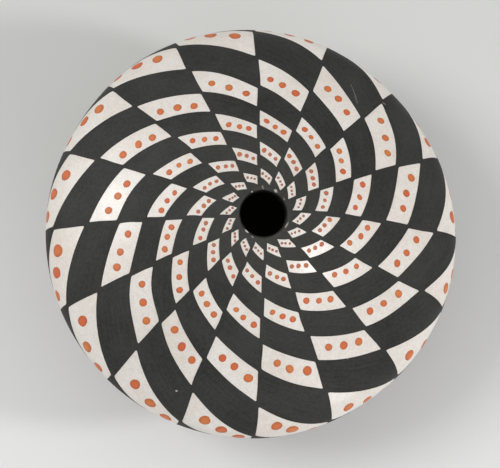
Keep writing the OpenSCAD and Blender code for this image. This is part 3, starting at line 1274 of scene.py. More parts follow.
@dataclass
class PaintLattice:
    """The rule of the net: even spokes, and half rows that widen with the distance from the axis."""

    shape: PotShape
    sectors: int = 16
    rows: int = 6
    mouth_band: float = 0.9 * MM
    border_h: float = 8 * MM
    swell: float = 0.09
    swell_rows: int = 4
    way_limits: tuple[float, float] = (-0.5, 0.6)
    twist: float = math.radians(-3.7)
    turn_drift: HandDrift = HandDrift(-0.012, -0.017, 0.021, -0.029)
    row_drift: HandDrift = HandDrift(0.07, 0.15, -0.09, -0.13)
    lapses: tuple[Lapse, ...] = (
        Lapse(0, 0.0, ALL_ROUND, 1.8, turn=1.9),
        Lapse(0, 4.0, ALL_ROUND, 2.0, turn=-0.5),
        Lapse(0, 8.2, ALL_ROUND, 0.9, rows=0.06),
        Lapse(80, 6.0, 26, 1.4, rows=-0.28),
        Lapse(92, 7.2, 11, 1.0, rows=-0.2, turn=-0.9),
        Lapse(62, 8.6, 24, 1.1, rows=0.36, turn=0.8),
        Lapse(34, 7.2, 15, 1.2, rows=0.22),
        Lapse(225, 5.0, 24, 1.4, rows=0.19),
        Lapse(194, 6.3, 18, 1.2, rows=-0.26),
        Lapse(157, 7.0, 18, 1.4, rows=0.14),
        Lapse(165, 0.6, 24, 1.4, rows=-0.36),
        Lapse(85, 0.8, 26, 1.3, rows=0.22),
        Lapse(8, 1.5, 22, 1.8, rows=0.19),
        Lapse(208, 2.0, 22, 2.6, turn=2.2),
        Lapse(122, 8.0, 16, 1.2, turn=1.4),
        Lapse(240, 9.0, 22, 1.2, turn=1.8),
        Lapse(292, 5.0, 14, 2.0, turn=-0.9),
        Lapse(0, 7.0, 9, 2.2, turn=-1.3),
        Lapse(335, 8.4, 14, 1.2, rows=-0.1, turn=1.6),
        Lapse(222, 7.2, 10, 1.0, rows=-0.17),
        Lapse(70, 5.2, 30, 1.2, rows=-0.09),
        Lapse(236, 5.0, 24, 2.2, turn=0.9),
        Lapse(313, 8.2, 20, 0.8, rows=-0.12, turn=0.8),
    )
    table_steps: int = 6000
    table_reach: Points = field(init=False, repr=False)
    table_pitch: Points = field(init=False, repr=False)
    first: float = field(init=False)
    step: float = field(init=False)
    sector_angle: float = field(init=False)

    def __post_init__(self) -> None:
        """Adds up the section's pitch, so that equal steps of it look alike at any width."""
        lip, foot = self.shape.lip_reach, self.shape.foot_reach
        self.table_reach = np.linspace(lip, foot, self.table_steps + 1)
        out, up = self.shape.section(self.table_reach)
        steps = np.diff(self.table_reach) * (1 / out[1:] + 1 / out[:-1]) / 2
        self.table_pitch = np.concatenate([[0.0], np.cumsum(steps)])
        self.first = float(np.interp(lip + self.mouth_band, self.table_reach, self.table_pitch))
        lower = self.table_reach > self.shape.stretches[3].start
        last_reach = float(np.interp(-self.border_h, -up[lower], self.table_reach[lower]))
        last = float(np.interp(last_reach, self.table_reach, self.table_pitch))
        self.step = (last - self.first) / (2 * self.rows)
        self.sector_angle = 2 * math.pi / self.sectors

    @property
    def slant(self) -> float:
        """The cosine of the angle at which the spirals cross the rows."""
        return math.cos(math.atan2(self.step, self.sector_angle))

    def spread(self, half_row: Points) -> Points:
        """The pitch at some half rows.

        Args:
            half_row: Half rows from the mouth.

        Returns:
            The pitch there.
        """
        share = np.clip(half_row / (2 * self.swell_rows), 0.0, 1.0)
        return self.first + half_row * self.step + self.swell * np.sin(share * math.pi)

    def rise(self, half_row: Points, nudge: float = 0.05) -> Points:
        """How fast the pitch grows with the half rows.

        Args:
            half_row: Half rows from the mouth.
            nudge: How far to either side it is measured.

        Returns:
            Pitch for each half row.
        """
        return (self.spread(half_row + nudge) - self.spread(half_row - nudge)) / (2 * nudge)

    def spot(self, sector: Points, half_row: Points) -> tuple[Points, Points]:
        """Where a point of the lattice lies on the pot, with the painter's drift.

        Args:
            sector: Sectors round the pot.
            half_row: Half rows from the mouth.

        Returns:
            Angles and reaches.
        """
        sector, half_row = np.broadcast_arrays(np.asarray(sector, float), np.asarray(half_row, float))
        even = sector * self.sector_angle
        way = np.clip(half_row / (2 * self.swell_rows) - 0.5, *self.way_limits)
        rows, turn = lapsed(self.lapses, even, half_row)
        angle = even + self.twist * way + self.turn_drift.at(even, way) + turn
        drifted = half_row + self.row_drift.at(even, way) + rows
        return angle, np.interp(self.spread(drifted), self.table_pitch, self.table_reach)

    def girth(self, sector: Points, half_row: Points) -> Points:
        """Distances from the axis at points of the lattice.

        Args:
            sector: Sectors round the pot.
            half_row: Half rows from the mouth.

        Returns:
            The distances.
        """
        return self.shape.section(self.spot(sector, half_row)[1])[0]


@dataclass
class FlatMesh:
    """A mesh being gathered in flat measures: angle, reach and lift."""

    points: list[Points] = field(default_factory=list)
    strokes: list[Points] = field(default_factory=list)
    faces: list[tuple[int, ...]] = field(default_factory=list)
    count: int = 0

    def add(self, angle: Points, reach: Points, lift: Points | float, stroke: Points) -> Points:
        """Adds points.

        Args:
            angle: Angles.
            reach: Reaches.
            lift: Lifts.
            stroke: Brush measures, three for each point.

        Returns:
            The numbers of the points, in the shape of the angles.
        """
        angle, reach, lift = np.broadcast_arrays(angle, reach, lift)
        self.points.append(np.stack([angle, reach, lift], -1).reshape(-1, 3))
        self.strokes.append(np.asarray(stroke, float).reshape(-1, 3))
        numbers = np.arange(self.count, self.count + angle.size).reshape(angle.shape)
        self.count += angle.size
        return numbers

    def grid(self, numbers: Points, down: bool = False) -> None:
        """Adds the faces of a grid of points.

        Args:
            numbers: The points, angle first and reach second.
            down: Whether the faces look inwards.
        """
        for i in range(numbers.shape[0] - 1):
            for j in range(numbers.shape[1] - 1):
                face = (numbers[i, j], numbers[i + 1, j], numbers[i + 1, j + 1], numbers[i, j + 1])
                self.faces.append(tuple(map(int, face[::-1] if down else face)))

    def ring(self, outer: Points, inner: Points) -> None:
        """Adds the faces between two closed loops.

        Args:
            outer: The loop on the left, seen from above.
            inner: The loop on the right.
        """
        for i in range(len(outer)):
            j = (i + 1) % len(outer)
            self.faces.append(tuple(map(int, (outer[i], outer[j], inner[j], inner[i]))))

    def mesh(self, name: str) -> bpy.types.Mesh:
        """The gathered mesh, with its brush measures.

        Args:
            name: Its name.

        Returns:
            The mesh, still flat.
        """
        mesh = bpy.data.meshes.new(name)
        mesh.from_pydata(np.concatenate(self.points).tolist(), [], self.faces)
        strokes = mesh.attributes.new(Trait.STROKE.value, "FLOAT_VECTOR", "POINT")
        strokes.data.foreach_set("vector", np.concatenate(self.strokes).astype(np.float32).ravel())
        return mesh


@dataclass
class PaintedNet:
    """The black net: spokes, spirals and filled cells, the painted lip and the border line."""

    shape: PotShape
    lattice: PaintLattice
    steps: int = 14
    paint_t: float = 0.10 * MM
    sink: float = 0.06 * MM
    edge: float = 0.07 * MM
    edge_lift: float = 0.02 * MM
    spoke_w: float = 0.9 * MM
    spiral_w: float = 0.8 * MM
    spiral_fine: float = 0.08 * MM
    fine_until: float = 24 * MM
    fine_waver: float = 0.3
    fine_edge: float = 0.4
    corner_gap: float = 0.03
    corner_round: float = 0.02
    unsteady: float = 0.11 * MM
    waver_turns: tuple[int, ...] = (2, 5, 8)
    waver_sizes: tuple[float, ...] = (0.8, 0.6, 0.35, 0.2)
    cell_step: float = 5.0
    lip_rows: int = 14
    lip_pace: float = 0.6
    lip_bristle: float = 1.2 * MM
    lip_waves: tuple[HandWave, ...] = (HandWave(0.25 * MM, 5, 0.0, 0.8), HandWave(0.15 * MM, 11, 0.0, 2.0))
    bore_depth: float = 3.3 * MM
    border_w: float = 1.6 * MM
    border_rows: int = 3
    border_pace: float = 1.0
    border_bristle: float = 2 * MM
    border_waves: tuple[HandWave, ...] = (HandWave(0.18 * MM, 4, 0.0, 1.0), HandWave(0.1 * MM, 9, 0.0, 2.5))
    rubbed: float = 0.7
    rubbed_w: float = 1.6 * MM
    # Painted shade in the bore: its share at the lip, and how far in it grows to full.
    bore_painted_shade: float = 0.2
    bore_painted_shade_fade: float = 0.3 * MM
    seed: int = 11
    random: np.random.Generator = field(init=False, repr=False)
    flat: FlatMesh = field(init=False, repr=False)

    def build(self) -> None:
        """Builds the net and rides it on the pot."""
        self.random = np.random.default_rng(self.seed)
        self.flat = FlatMesh()
        for sector in range(self.lattice.sectors):
            for strip in range(-1, 2 * self.lattice.rows):
                if strip % 2:
                    self._filled(sector, strip)
                else:
                    self._window(sector, strip)
        self._lip()
        self._border()
        piece = new_piece("black_paint_net", self.flat.mesh("black_paint_net"))
        self._wear_and_bore_shade(piece.data)
        settle(piece, self._tree(), {"Finish": PaintFinish().material(self.shape)})
        place(piece, Slot.BLACK_PAINT, "black_paint")

    def _stroke(self, sector: Points, half_row: Points, strip: int) -> Points:
        """Brush measures at points of one strip.

        Args:
            sector: Sectors round the pot.
            half_row: Half rows from the mouth.
            strip: The strip's number.

        Returns:
            The way along the stroke, across it, and the cell.
        """
        across = half_row - sector
        cell = strip + np.floor(sector.mean()) * self.cell_step
        return np.stack([sector, across, np.full_like(across, cell)], -1)

    def _both(self, sector: Points, half_row: Points, strip: int) -> tuple[Points, Points]:
        """Adds points of the lattice on the face of the paint and under it.

        Args:
            sector: Sectors round the pot.
            half_row: Half rows from the mouth.
            strip: The strip's number.

        Returns:
            The numbers of the points on top and below.
        """
        sector, half_row = np.broadcast_arrays(np.asarray(sector, float), np.asarray(half_row, float))
        angle, reach = self.lattice.spot(sector, half_row)
        stroke = self._stroke(sector, half_row, strip)
        top = self.flat.add(angle, reach, self.paint_t, stroke)
        below = self.flat.add(angle, reach, -self.sink, stroke)
        return top, below

    def _filled(self, sector: int, strip: int) -> None:
        """One black cell. The first and last strips are cut off by the mouth band and the border.

        Args:
            sector: The sector.
            strip: The strip.
        """
        share = np.linspace(0.0, 1.0, self.steps + 1)
        across, along = np.meshgrid(share, share, indexing="ij")
        last = 2 * self.lattice.rows - 1
        if strip < 0:
            half_row = across * along
        elif strip == last:
            half_row = strip + across + along * (1 - across)
        else:
            half_row = strip + across + along
        top, below = self._both(sector + across, half_row, strip)
        self.flat.grid(top)
        self.flat.grid(below, down=True)

    def _waver(self) -> Waver:
        """A slow seeded wobble for one brushed edge.

        Returns:
            A function of the share of the edge.
        """
        phases = self.random.uniform(0, 2 * math.pi, len(self.waver_turns))
        sizes = self.random.normal(0.0, 1.0, len(self.waver_sizes))
        sizes = sizes * self.unsteady * np.array(self.waver_sizes)
        waves = tuple(zip(sizes[1:], self.waver_turns, phases))

        def at(share: Points) -> Points:
            """The wobble at a share of the edge."""
            return sizes[0] + sum(size * np.sin(turns * share + phase) for size, turns, phase in waves)

        return at

    def _window(self, sector: int, strip: int) -> None:
        """The paint round one white cell, with an unsteady brushed edge.

        Args:
            sector: The sector.
            strip: The strip.
        """
        n = self.steps
        share = np.linspace(0.0, 1.0, n + 1)[:-1]
        zero, one = np.zeros(n), np.ones(n)
        u = np.concatenate([share, one, 1 - share, zero])
        v = np.concatenate([zero, share, one, 1 - share])
        outer_top, outer_low = self._both(sector + u, strip + u + v, strip)
        wavers = [self._waver() for _ in range(4)]
        edge = self._inside(sector, strip, wavers, 0.0)
        low = self._inside(sector, strip, wavers, self.edge)
        inner = []
        for (u, v), lift in ((edge, self.paint_t), (low, self.edge_lift), (low, -self.sink)):
            angle, reach = self.lattice.spot(sector + u, strip + u + v)
            inner.append(self.flat.add(angle, reach, lift, self._stroke(sector + u, strip + u + v, strip)))
        self.flat.ring(outer_top, inner[0])
        self.flat.ring(inner[0], inner[1])
        self.flat.ring(inner[1], inner[2])
        self.flat.ring(inner[2], outer_low)

    def _inside(self, sector: int, strip: int, wavers: list[Waver], more: float) -> tuple[Points, Points]:
        """The loop of one window's edge, in shares of the cell.

        Args:
            sector: The sector.
            strip: The strip.
            wavers: The wobble of the inner, right, outer and left edge.
            more: How much further in than the line's own edge.

        Returns:
            The shares across and along the cell, from the inner left corner.
        """
        n = self.steps
        lattice = self.lattice

        def inset_u(u: float, v: Points, waver: Waver) -> Points:
            """How much of the cell a spoke's half line takes.

            Args:
                u: The share across the cell where the spoke is.
                v: Shares along the cell.
                waver: The edge's wobble.

            Returns:
                Shares of the cell's width.
            """
            wide = lattice.girth(sector + u, strip + u + v) * lattice.sector_angle
            return (self.spoke_w / 2 + waver(v) + more) / wide

        def inset_v(u: Points, v: float, waver: Waver) -> Points:
            """How much of the cell a spiral's half line takes.

            Args:
                u: Shares across the cell.
                v: The share along the cell where the spiral is.
                waver: The edge's wobble.

            Returns:
                Shares of the cell's length.
            """
            row = strip + u + v
            girth = lattice.girth(sector + u, row)
            wide = girth * lattice.rise(row) * lattice.slant
            near = np.clip((girth - self.shape.mouth_r) / self.fine_until, 0.0, 1.0)
            line = self.spiral_fine + (self.spiral_w - self.spiral_fine) * near
            wobble = waver(u) * (self.fine_waver + (1 - self.fine_waver) * near)
            return (line / 2 + wobble + more * (self.fine_edge + (1 - self.fine_edge) * near)) / wide

        ends = np.array([0.0, 1.0])
        left, right = inset_u(0.0, ends, wavers[3]), 1 - inset_u(1.0, ends, wavers[1])
        inner, outer = inset_v(ends, 0.0, wavers[0]), 1 - inset_v(ends, 1.0, wavers[2])
        along = np.concatenate([[0.0], np.linspace(self.corner_gap, 1 - self.corner_gap, n - 1)])
        u_in = left[0] + (right[0] - left[0]) * along
        v_right = inner[1] + (outer[1] - inner[1]) * along
        u_out = right[1] + (left[1] - right[1]) * along
        v_left = outer[0] + (inner[0] - outer[0]) * along
        u_right, u_left = 1 - inset_u(1.0, v_right, wavers[1]), inset_u(0.0, v_left, wavers[3])
        v_in, v_out = inset_v(u_in, 0.0, wavers[0]), 1 - inset_v(u_out, 1.0, wavers[2])
        u = np.concatenate([u_in, u_right, u_out, u_left])
        v = np.concatenate([v_in, v_right, v_out, v_left])
        for corner in (0, n, 2 * n, 3 * n):
            u[corner] += (0.5 - u[corner]) * self.corner_round
            v[corner] += (0.5 - v[corner]) * self.corner_round
        return u, v

    def _around(self, half_row: float) -> tuple[Points, Points, Points]:
        """One line of the lattice all round the pot.

        Args:
            half_row: Half rows from the mouth.

        Returns:
            Sectors, angles and reaches.
        """
        around = np.linspace(0.0, self.lattice.sectors, self.lattice.sectors * self.steps + 1)
        return around, *self.lattice.spot(around, np.full_like(around, half_row))

    def _band(self, angle: Points, reach: Points, stroke: Points) -> tuple[Points, Points]:
        """Adds a band of paint round the pot, on its face and under it.

        Args:
            angle: Angles round the pot.
            reach: Reaches, a row for each angle.
            stroke: Brush measures.

        Returns:
            The numbers of the points on top and below.
        """
        wide = np.repeat(angle[:, None], reach.shape[1], 1)
        top = self.flat.add(wide, reach, self.paint_t, stroke)
        below = self.flat.add(wide, reach, -self.sink, stroke)
        self.flat.grid(top)
        self.flat.grid(below, down=True)
        return top, below

    def _lip(self) -> None:
        """The painted band round the mouth, over the lip and a little way down the bore."""
        around, angle, first = self._around(0.0)
        end = self.shape.bore_reach - self.bore_depth
        ragged = end + sum(wave.round_pot(angle) for wave in self.lip_waves)
        share = np.linspace(0.0, 1.0, self.lip_rows + 1)
        reach = ragged[:, None] + (first - ragged)[:, None] * share
        along = np.repeat(around[:, None] * self.lip_pace, len(share), 1)
        stroke = np.stack([along, reach / self.lip_bristle, np.zeros_like(reach)], -1)
        top, below = self._band(angle, reach, stroke)
        self.flat.grid(np.stack([below[:, 0], top[:, 0]], -1))

    def _border(self) -> None:
        """The border line under the last row."""
        around, angle, first = self._around(2.0 * self.lattice.rows)
        wide = self.border_w + sum(wave.round_pot(angle) for wave in self.border_waves)
        share = np.linspace(0.0, 1.0, self.border_rows + 1)
        reach = first[:, None] + wide[:, None] * share
        along = np.repeat(around[:, None] * self.border_pace, len(share), 1)
        stroke = np.stack([along, reach / self.border_bristle, np.ones_like(reach)], -1)
        top, below = self._band(angle, reach, stroke)
        self.flat.grid(np.stack([top[:, -1], below[:, -1]], -1))

    def _wear_and_bore_shade(self, mesh: bpy.types.Mesh) -> None:
        """Marks where the paint is rubbed round the mouth, and where painted shade makes it near black down
        the bore.

        Args:
            mesh: The net, still flat.
        """
        way = np.concatenate(self.flat.points)[:, 1] - self.shape.lip_reach
        rubbed = np.clip(1 - way / self.rubbed_w, 0.0, 1.0) * self.rubbed
        # Painted shade: the share of near-black paint down the bore.
        bore = np.clip(self.bore_painted_shade - way / self.bore_painted_shade_fade, 0.0, 1.0)
        for trait, values in ((Trait.RUBBED, rubbed), (Trait.BORE, bore)):
            layer = mesh.attributes.new(trait.value, "FLOAT", "POINT")
            layer.data.foreach_set("value", values.astype(np.float32))

    def _tree(self) -> GeometrySheet:
        """The tree that lays the flat net on the pot.

        Returns:
            The tree.
        """
        sheet = GeometrySheet("Black net on the pot")
        geometry = sheet.take("Geometry", "NodeSocketGeometry")
        finish = sheet.take("Finish", "NodeSocketMaterial")
        angle, reach, lift = sheet.split(sheet.use("GeometryNodeInputPosition", {}))
        laid = sheet.group(
            self.shape.skin_tree(), {"Geometry": geometry, "Angle": angle, "Reach": reach, "Lift": lift}
        )
        sheet.close(laid.outputs[0], finish)
        return sheet


@dataclass
class WhiteSlip:
    """The polished slip: a thin closed shell from the lip to just above the foot.

    The rows run down the outside, which has its own share of them, and back up under it. A hair keeps the
    rows at both edges on the outside.
    """

    shape: PotShape
    around: int = 240
    down: int = 132
    outside: float = 0.75
    hair: float = 0.001

    def build(self) -> None:
        """Builds the slip and rides it on the pot."""
        piece = new_piece("white_slip_coat")
        feeds = {
            "Around": self.around,
            "Down": self.down,
            "Lip reach": self.shape.lip_reach,
            "Foot reach": self.shape.foot_reach - self.shape.slip_gap,
            "Thickness": self.shape.slip_t,
            "Outside share": self.outside,
            "Finish": SlipFinish().material(),
        }
        settle(piece, self._tree(), feeds)
        place(piece, Slot.WHITE_SLIP, "white_slip")

    def _tree(self) -> GeometrySheet:
        """The tree: a grid whose rows run down the outside and back up under it.

        Returns:
            The tree.
        """
        sheet = GeometrySheet("Slip round the pot")
        around = sheet.take("Around", "NodeSocketInt")
        down = sheet.take("Down", "NodeSocketInt")
        lip, foot = sheet.take("Lip reach"), sheet.take("Foot reach")
        thick, outside = sheet.take("Thickness"), sheet.take("Outside share")
        finish = sheet.take("Finish", "NodeSocketMaterial")
        feeds = {
            "Size X": 1.0,
            "Size Y": 1.0,
            "Vertices X": sheet.math("ADD", around, 1.0),
            "Vertices Y": sheet.math("ADD", down, 1.0),
        }
        grid = sheet.use("GeometryNodeMeshGrid", feeds, "Mesh")
        x, y, _ = sheet.split(sheet.use("GeometryNodeInputPosition", {}))
        turn = sheet.scaled(x, 2 * math.pi, math.pi)
        row = sheet.math("ADD", y, 0.5)
        forth = sheet.math("DIVIDE", row, outside)
        back = sheet.math("DIVIDE", sheet.math("SUBTRACT", 1.0, row), sheet.math("SUBTRACT", 1.0, outside))
        share = sheet.math("MINIMUM", sheet.math("MINIMUM", forth, back), 1.0)
        reach = sheet.math("MULTIPLY_ADD", share, sheet.math("SUBTRACT", foot, lip), lip)
        under = sheet.math("GREATER_THAN", row, sheet.math("ADD", outside, self.hair))
        under = sheet.math("MULTIPLY", under, sheet.math("LESS_THAN", row, 1 - self.hair))
        lift = sheet.math("MULTIPLY", under, sheet.math("MULTIPLY", thick, -1.0))
        laid = sheet.group(
            self.shape.skin_tree(), {"Geometry": grid, "Angle": turn, "Reach": reach, "Lift": lift}
        )
        sheet.close(laid.outputs[0], finish)
        return sheet


@dataclass
class OrangeDots:
    """Three dabs of orange in every white cell, each a little out of round.

    Ways are shares of a cell, and middles, spans and sizes have a value for each row from the mouth out.
    A dab's base is flat, and what stands over it by more than a hair takes the height of its crown.
    """

    shape: PotShape
    lattice: PaintLattice
    ways: tuple[float, ...] = (0.26, 0.52, 0.785)
    middles: tuple[float, ...] = (0.52, 0.52, 0.52, 0.52, 0.52, 0.50)
    spans: tuple[float, ...] = (0.85, 1.0, 1.0, 1.0, 1.0, 1.0)
    sizes: tuple[float, ...] = (0.86, 1.06, 1.02, 1.0, 1.19, 1.15)
    least: float = 0.46 * MM
    growth: float = 0.049
    drawn: float = 0.2
    drawn_between: tuple[float, float] = (38 * MM, 57 * MM)
    round_between: tuple[float, float] = (85 * MM, 105 * MM)
    stray_along: float = 0.014
    stray_across: float = 0.032
    steady: float = 0.6
    steady_rows: int = 2
    uneven: float = 0.06
    uneven_most: float = 0.15
    oval: float = 0.045
    tint_spread: tuple[float, float] = (1.6, 2.2)
    thin_at: float = 8 * MM
    thick_at: float = 27 * MM
    thickness: float = 0.12 * MM
    sink: float = 0.02 * MM
    sides: int = 16
    crown_w: float = 0.55
    crown_power: float = 3.0
    rim_high: float = 0.15
    hair: float = 0.01
    ragged: float = 0.13
    ragged_scale: float = 0.9
    ragged_step: float = 3.7
    lapses: tuple[Lapse, ...] = (
        Lapse(165, 4.0, 18, 1.8, rows=-0.16),
        Lapse(330, 4.0, 28, 1.8, rows=-0.17),
        Lapse(35, 7.0, 50, 1.2, rows=0.1),
        Lapse(130, 7.0, 45, 1.2, rows=-0.18),
        Lapse(315, 7.0, 18, 1.2, rows=-0.14),
        Lapse(265, 7.0, 40, 1.2, turn=0.8),
        Lapse(150, 9.0, 50, 1.5, rows=0.14),
        Lapse(258, 9.0, 34, 1.5, rows=-0.17),
        Lapse(170, 9.0, 75, 1.5, turn=1.1),
    )
    seed: int = 5

    def build(self) -> None:
        """Builds the dots and rides them on the pot."""
        piece = new_piece("orange_dots_dabbed", self._places())
        feeds = {
            "Sides": self.sides,
            "Thickness": self.thickness,
            "Ragged": self.ragged,
            "Finish": DotFinish().material(),
        }
        settle(piece, self._tree(), feeds)
        place(piece, Slot.ORANGE_PAINT, "orange_dots")

    def _places(self) -> bpy.types.Mesh:
        """One point for each dot, with its place and size as attributes.

        Returns:
            A mesh of points.
        """
        random = np.random.default_rng(self.seed)
        counts = np.arange(self.lattice.sectors), np.arange(self.lattice.rows), np.array(self.ways)
        sector, row, way = (grid.ravel() for grid in np.meshgrid(*counts, indexing="ij"))
        count, middle = len(sector), self.ways[1]
        steady = np.where(row < self.steady_rows, self.steady, 1.0)
        u = middle + (way - middle) * np.array(self.spans)[row]
        u = u + random.normal(0.0, self.stray_along, count) * steady
        v = np.array(self.middles)[row] + random.normal(0.0, self.stray_across, count) * steady
        half_row = 2 * row + u + v
        rows, turn = lapsed(self.lapses, (sector + u) * self.lattice.sector_angle, half_row)
        angle, reach = self.lattice.spot(sector + u, half_row + rows)
        angle = angle + turn
        girth = self.shape.section(reach)[0]
        even = (self.least + girth * self.growth) * np.array(self.sizes)[row]
        uneven = np.clip(random.normal(0.0, self.uneven, count), -self.uneven_most, self.uneven_most)
        width = even * (1 + uneven)
        high = np.interp(reach, [*self.drawn_between, *self.round_between], [0.0, 1.0, 1.0, 0.0])
        drawn = np.sqrt(1 + self.drawn * high)
        values = {
            DotTrait.ANGLE: angle,
            DotTrait.REACH: reach,
            DotTrait.GIRTH: girth,
            DotTrait.HALF_WIDTH: width / 2 / drawn,
            DotTrait.STRETCH: 1 + np.abs(random.normal(0.0, self.oval, count)),
            DotTrait.TURN: random.uniform(0, 2 * math.pi, count),
            DotTrait.DRAWN: drawn**2,
            DotTrait.NUMBER: np.arange(count, dtype=float),
            Trait.TINT: random.beta(*self.tint_spread, count),
            Trait.THICK: np.interp(girth, [self.thin_at, self.thick_at], [0.0, 1.0]),
        }
        mesh = bpy.data.meshes.new("orange_dots_dabbed")
        mesh.from_pydata([(0.0, 0.0, 0.0)] * count, [], [])
        for trait, numbers in values.items():
            layer = mesh.attributes.new(trait.value, "FLOAT", "POINT")
            layer.data.foreach_set("value", numbers.astype(np.float32))
        return mesh

    def _tree(self) -> GeometrySheet:
        """The tree: a low dab on every point, its outline made ragged, laid on the pot.

        Returns:
            The tree.
        """
        sheet = GeometrySheet("Dots on the pot")
        points = sheet.take("Geometry", "NodeSocketGeometry")
        sides = sheet.take("Sides", "NodeSocketInt")
        thickness, ragged = sheet.take("Thickness"), sheet.take("Ragged")
        finish = sheet.take("Finish", "NodeSocketMaterial")
        dab = sheet.use(
            "GeometryNodeMeshCone",
            {
                "Vertices": sides,
                "Side Segments": 2,
                "Fill Segments": 1,
                "Radius Top": self.crown_w,
                "Radius Bottom": 1.0,
                "Depth": 1.0,
            },
            "Mesh",
            fill_type="TRIANGLE_FAN",
        )
        x, y, z = sheet.split(sheet.use("GeometryNodeInputPosition", {}))
        flat = sheet.math("SQRT", sheet.math("MULTIPLY_ADD", x, x, sheet.math("MULTIPLY", y, y)))
        crown = sheet.math("SUBTRACT", 1.0, sheet.math("POWER", flat, self.crown_power))
        above = sheet.math("GREATER_THAN", z, self.hair)
        high = sheet.math("MULTIPLY", above, sheet.scaled(crown, 1 - self.rim_high, self.rim_high))
        rimmed = sheet.store(dab, Trait.RIM, flat, "FLOAT")
        spot = sheet.vector(x, y, high)
        shaped = sheet.use("GeometryNodeSetPosition", {"Geometry": rimmed, "Position": spot})
        half, stretch = sheet.named(DotTrait.HALF_WIDTH), sheet.named(DotTrait.STRETCH)
        longer, shorter = sheet.math("MULTIPLY", half, stretch), sheet.math("DIVIDE", half, stretch)
        scale = sheet.vector(longer, shorter, thickness)
        placed = sheet.use(
            "GeometryNodeInstanceOnPoints",
            {
                "Points": points,
                "Instance": shaped,
                "Rotation": sheet.vector(0.0, 0.0, sheet.named(DotTrait.TURN)),
                "Scale": scale,
            },
        )
        real = sheet.use("GeometryNodeRealizeInstances", {"Geometry": placed})
        a, b, lift = sheet.split(sheet.use("GeometryNodeInputPosition", {}))
        bearing = sheet.math("ARCTAN2", b, a)
        around = sheet.vector(
            sheet.math("COSINE", bearing),
            sheet.math("SINE", bearing),
            sheet.math("MULTIPLY", sheet.named(DotTrait.NUMBER), self.ragged_step),
        )
        wobble = sheet.scaled(sheet.noise(around, self.ragged_scale, detail=1.0), 2.0, -1.0)
        swell = sheet.math("MULTIPLY_ADD", wobble, ragged, 1.0)
        wide = sheet.math("DIVIDE", sheet.math("MULTIPLY", a, swell), sheet.named(DotTrait.GIRTH))
        down = sheet.math("MULTIPLY", b, sheet.named(DotTrait.DRAWN))
        laid = sheet.group(
            self.shape.skin_tree(),
            {
                "Geometry": real,
                "Angle": sheet.math("ADD", wide, sheet.named(DotTrait.ANGLE)),
                "Reach": sheet.math("MULTIPLY_ADD", down, swell, sheet.named(DotTrait.REACH)),
                "Lift": sheet.math("SUBTRACT", lift, self.sink),
            },
        )
        sheet.close(laid.outputs[0], finish)
        return sheet


@dataclass
class ClayBody:
    """The coiled clay itself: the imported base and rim, and the coils between, pressed out of round."""

    shape: PotShape
    ends: tuple[str, ...] = ("base", "rim_coil")
    coils: tuple[str, ...] = (
        "lower_coil_1", "lower_coil_2", "belly_coil_1", "belly_coil_2",
        "dome_coil_1", "dome_coil_2", "dome_coil_3", "dome_coil_4",
    )

    def build(self) -> None:
        """Gives the base and the rim the fired clay finish, and presses the coils between."""
        clay, tree = ClayFinish().material(), self._tree()
        for name in self.ends:
            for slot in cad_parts[name].material_slots:
                slot.material = clay
            LOG.info("%s: fired clay", name)
        for name in self.coils:
            coil = new_piece(f"{name}_pressed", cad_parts[name].data.copy())
            settle(coil, tree, {"Weld": WELD, "Finish": clay})
            place(coil, Slot.CLAY, name)

    def _tree(self) -> GeometrySheet:
        """The tree that presses a coil as the belly over it is pressed.

        Returns:
            The tree.
        """
        sheet = GeometrySheet("Press a coil")
        geometry = sheet.take("Geometry", "NodeSocketGeometry")
        weld, finish = sheet.take("Weld"), sheet.take("Finish", "NodeSocketMaterial")
        joined = sheet.use("GeometryNodeMergeByDistance", {"Geometry": geometry, "Distance": weld})
        x, y, z = sheet.split(sheet.use("GeometryNodeInputPosition", {}))
        angle = sheet.math("ARCTAN2", y, x)
        press = self.shape.pressed(sheet, angle, z)
        move = sheet.vector(
            sheet.math("MULTIPLY", press, sheet.math("COSINE", angle)),
            sheet.math("MULTIPLY", press, sheet.math("SINE", angle)),
            0.0,
        )
        moved = sheet.use("GeometryNodeSetPosition", {"Geometry": joined, "Offset": move})
        sheet.close(moved, finish)
        return sheet


# The studio

class LampUse(Enum):
    """What a lamp is for: the even shade, the gleam on polished slip, or both."""

    SHADE = "shade"
    GLEAM = "gleam"
    BOTH = "both"


@dataclass(frozen=True)
class Lamp:
    """A round soft lamp: where it stands, its width and the light it gives at the pot.

    Azimuth and elevation are in degrees. A light of 1 shows a surface that faces it in its own colour.
    """

    name: str
    azimuth: float
    elevation: float
    light: float
    use: LampUse = LampUse.BOTH
    width: float = 0.30
    distance: float = 2.0

    def hang(self, target: Vector) -> None:
        """Hangs the lamp, turned to the pot.

        Args:
            target: What it points at.
        """
        turn, rise = math.radians(self.azimuth), math.radians(self.elevation)
        way = Vector((math.cos(turn) * math.cos(rise), math.sin(turn) * math.cos(rise), math.sin(rise)))
        data = bpy.data.lights.new(self.name, "AREA")
        data.shape = "DISK"
        data.size = self.width
        data.energy = self.light * math.pi**2 * self.distance**2
        lamp = bpy.data.objects.new(self.name, data)
        lamp.visible_diffuse = self.use is not LampUse.GLEAM
        lamp.visible_glossy = self.use is not LampUse.SHADE
        lamp.location = target + way * self.distance
        lamp.rotation_euler = way.to_track_quat("Z", "Y").to_euler()
        bpy.context.scene.collection.objects.link(lamp)


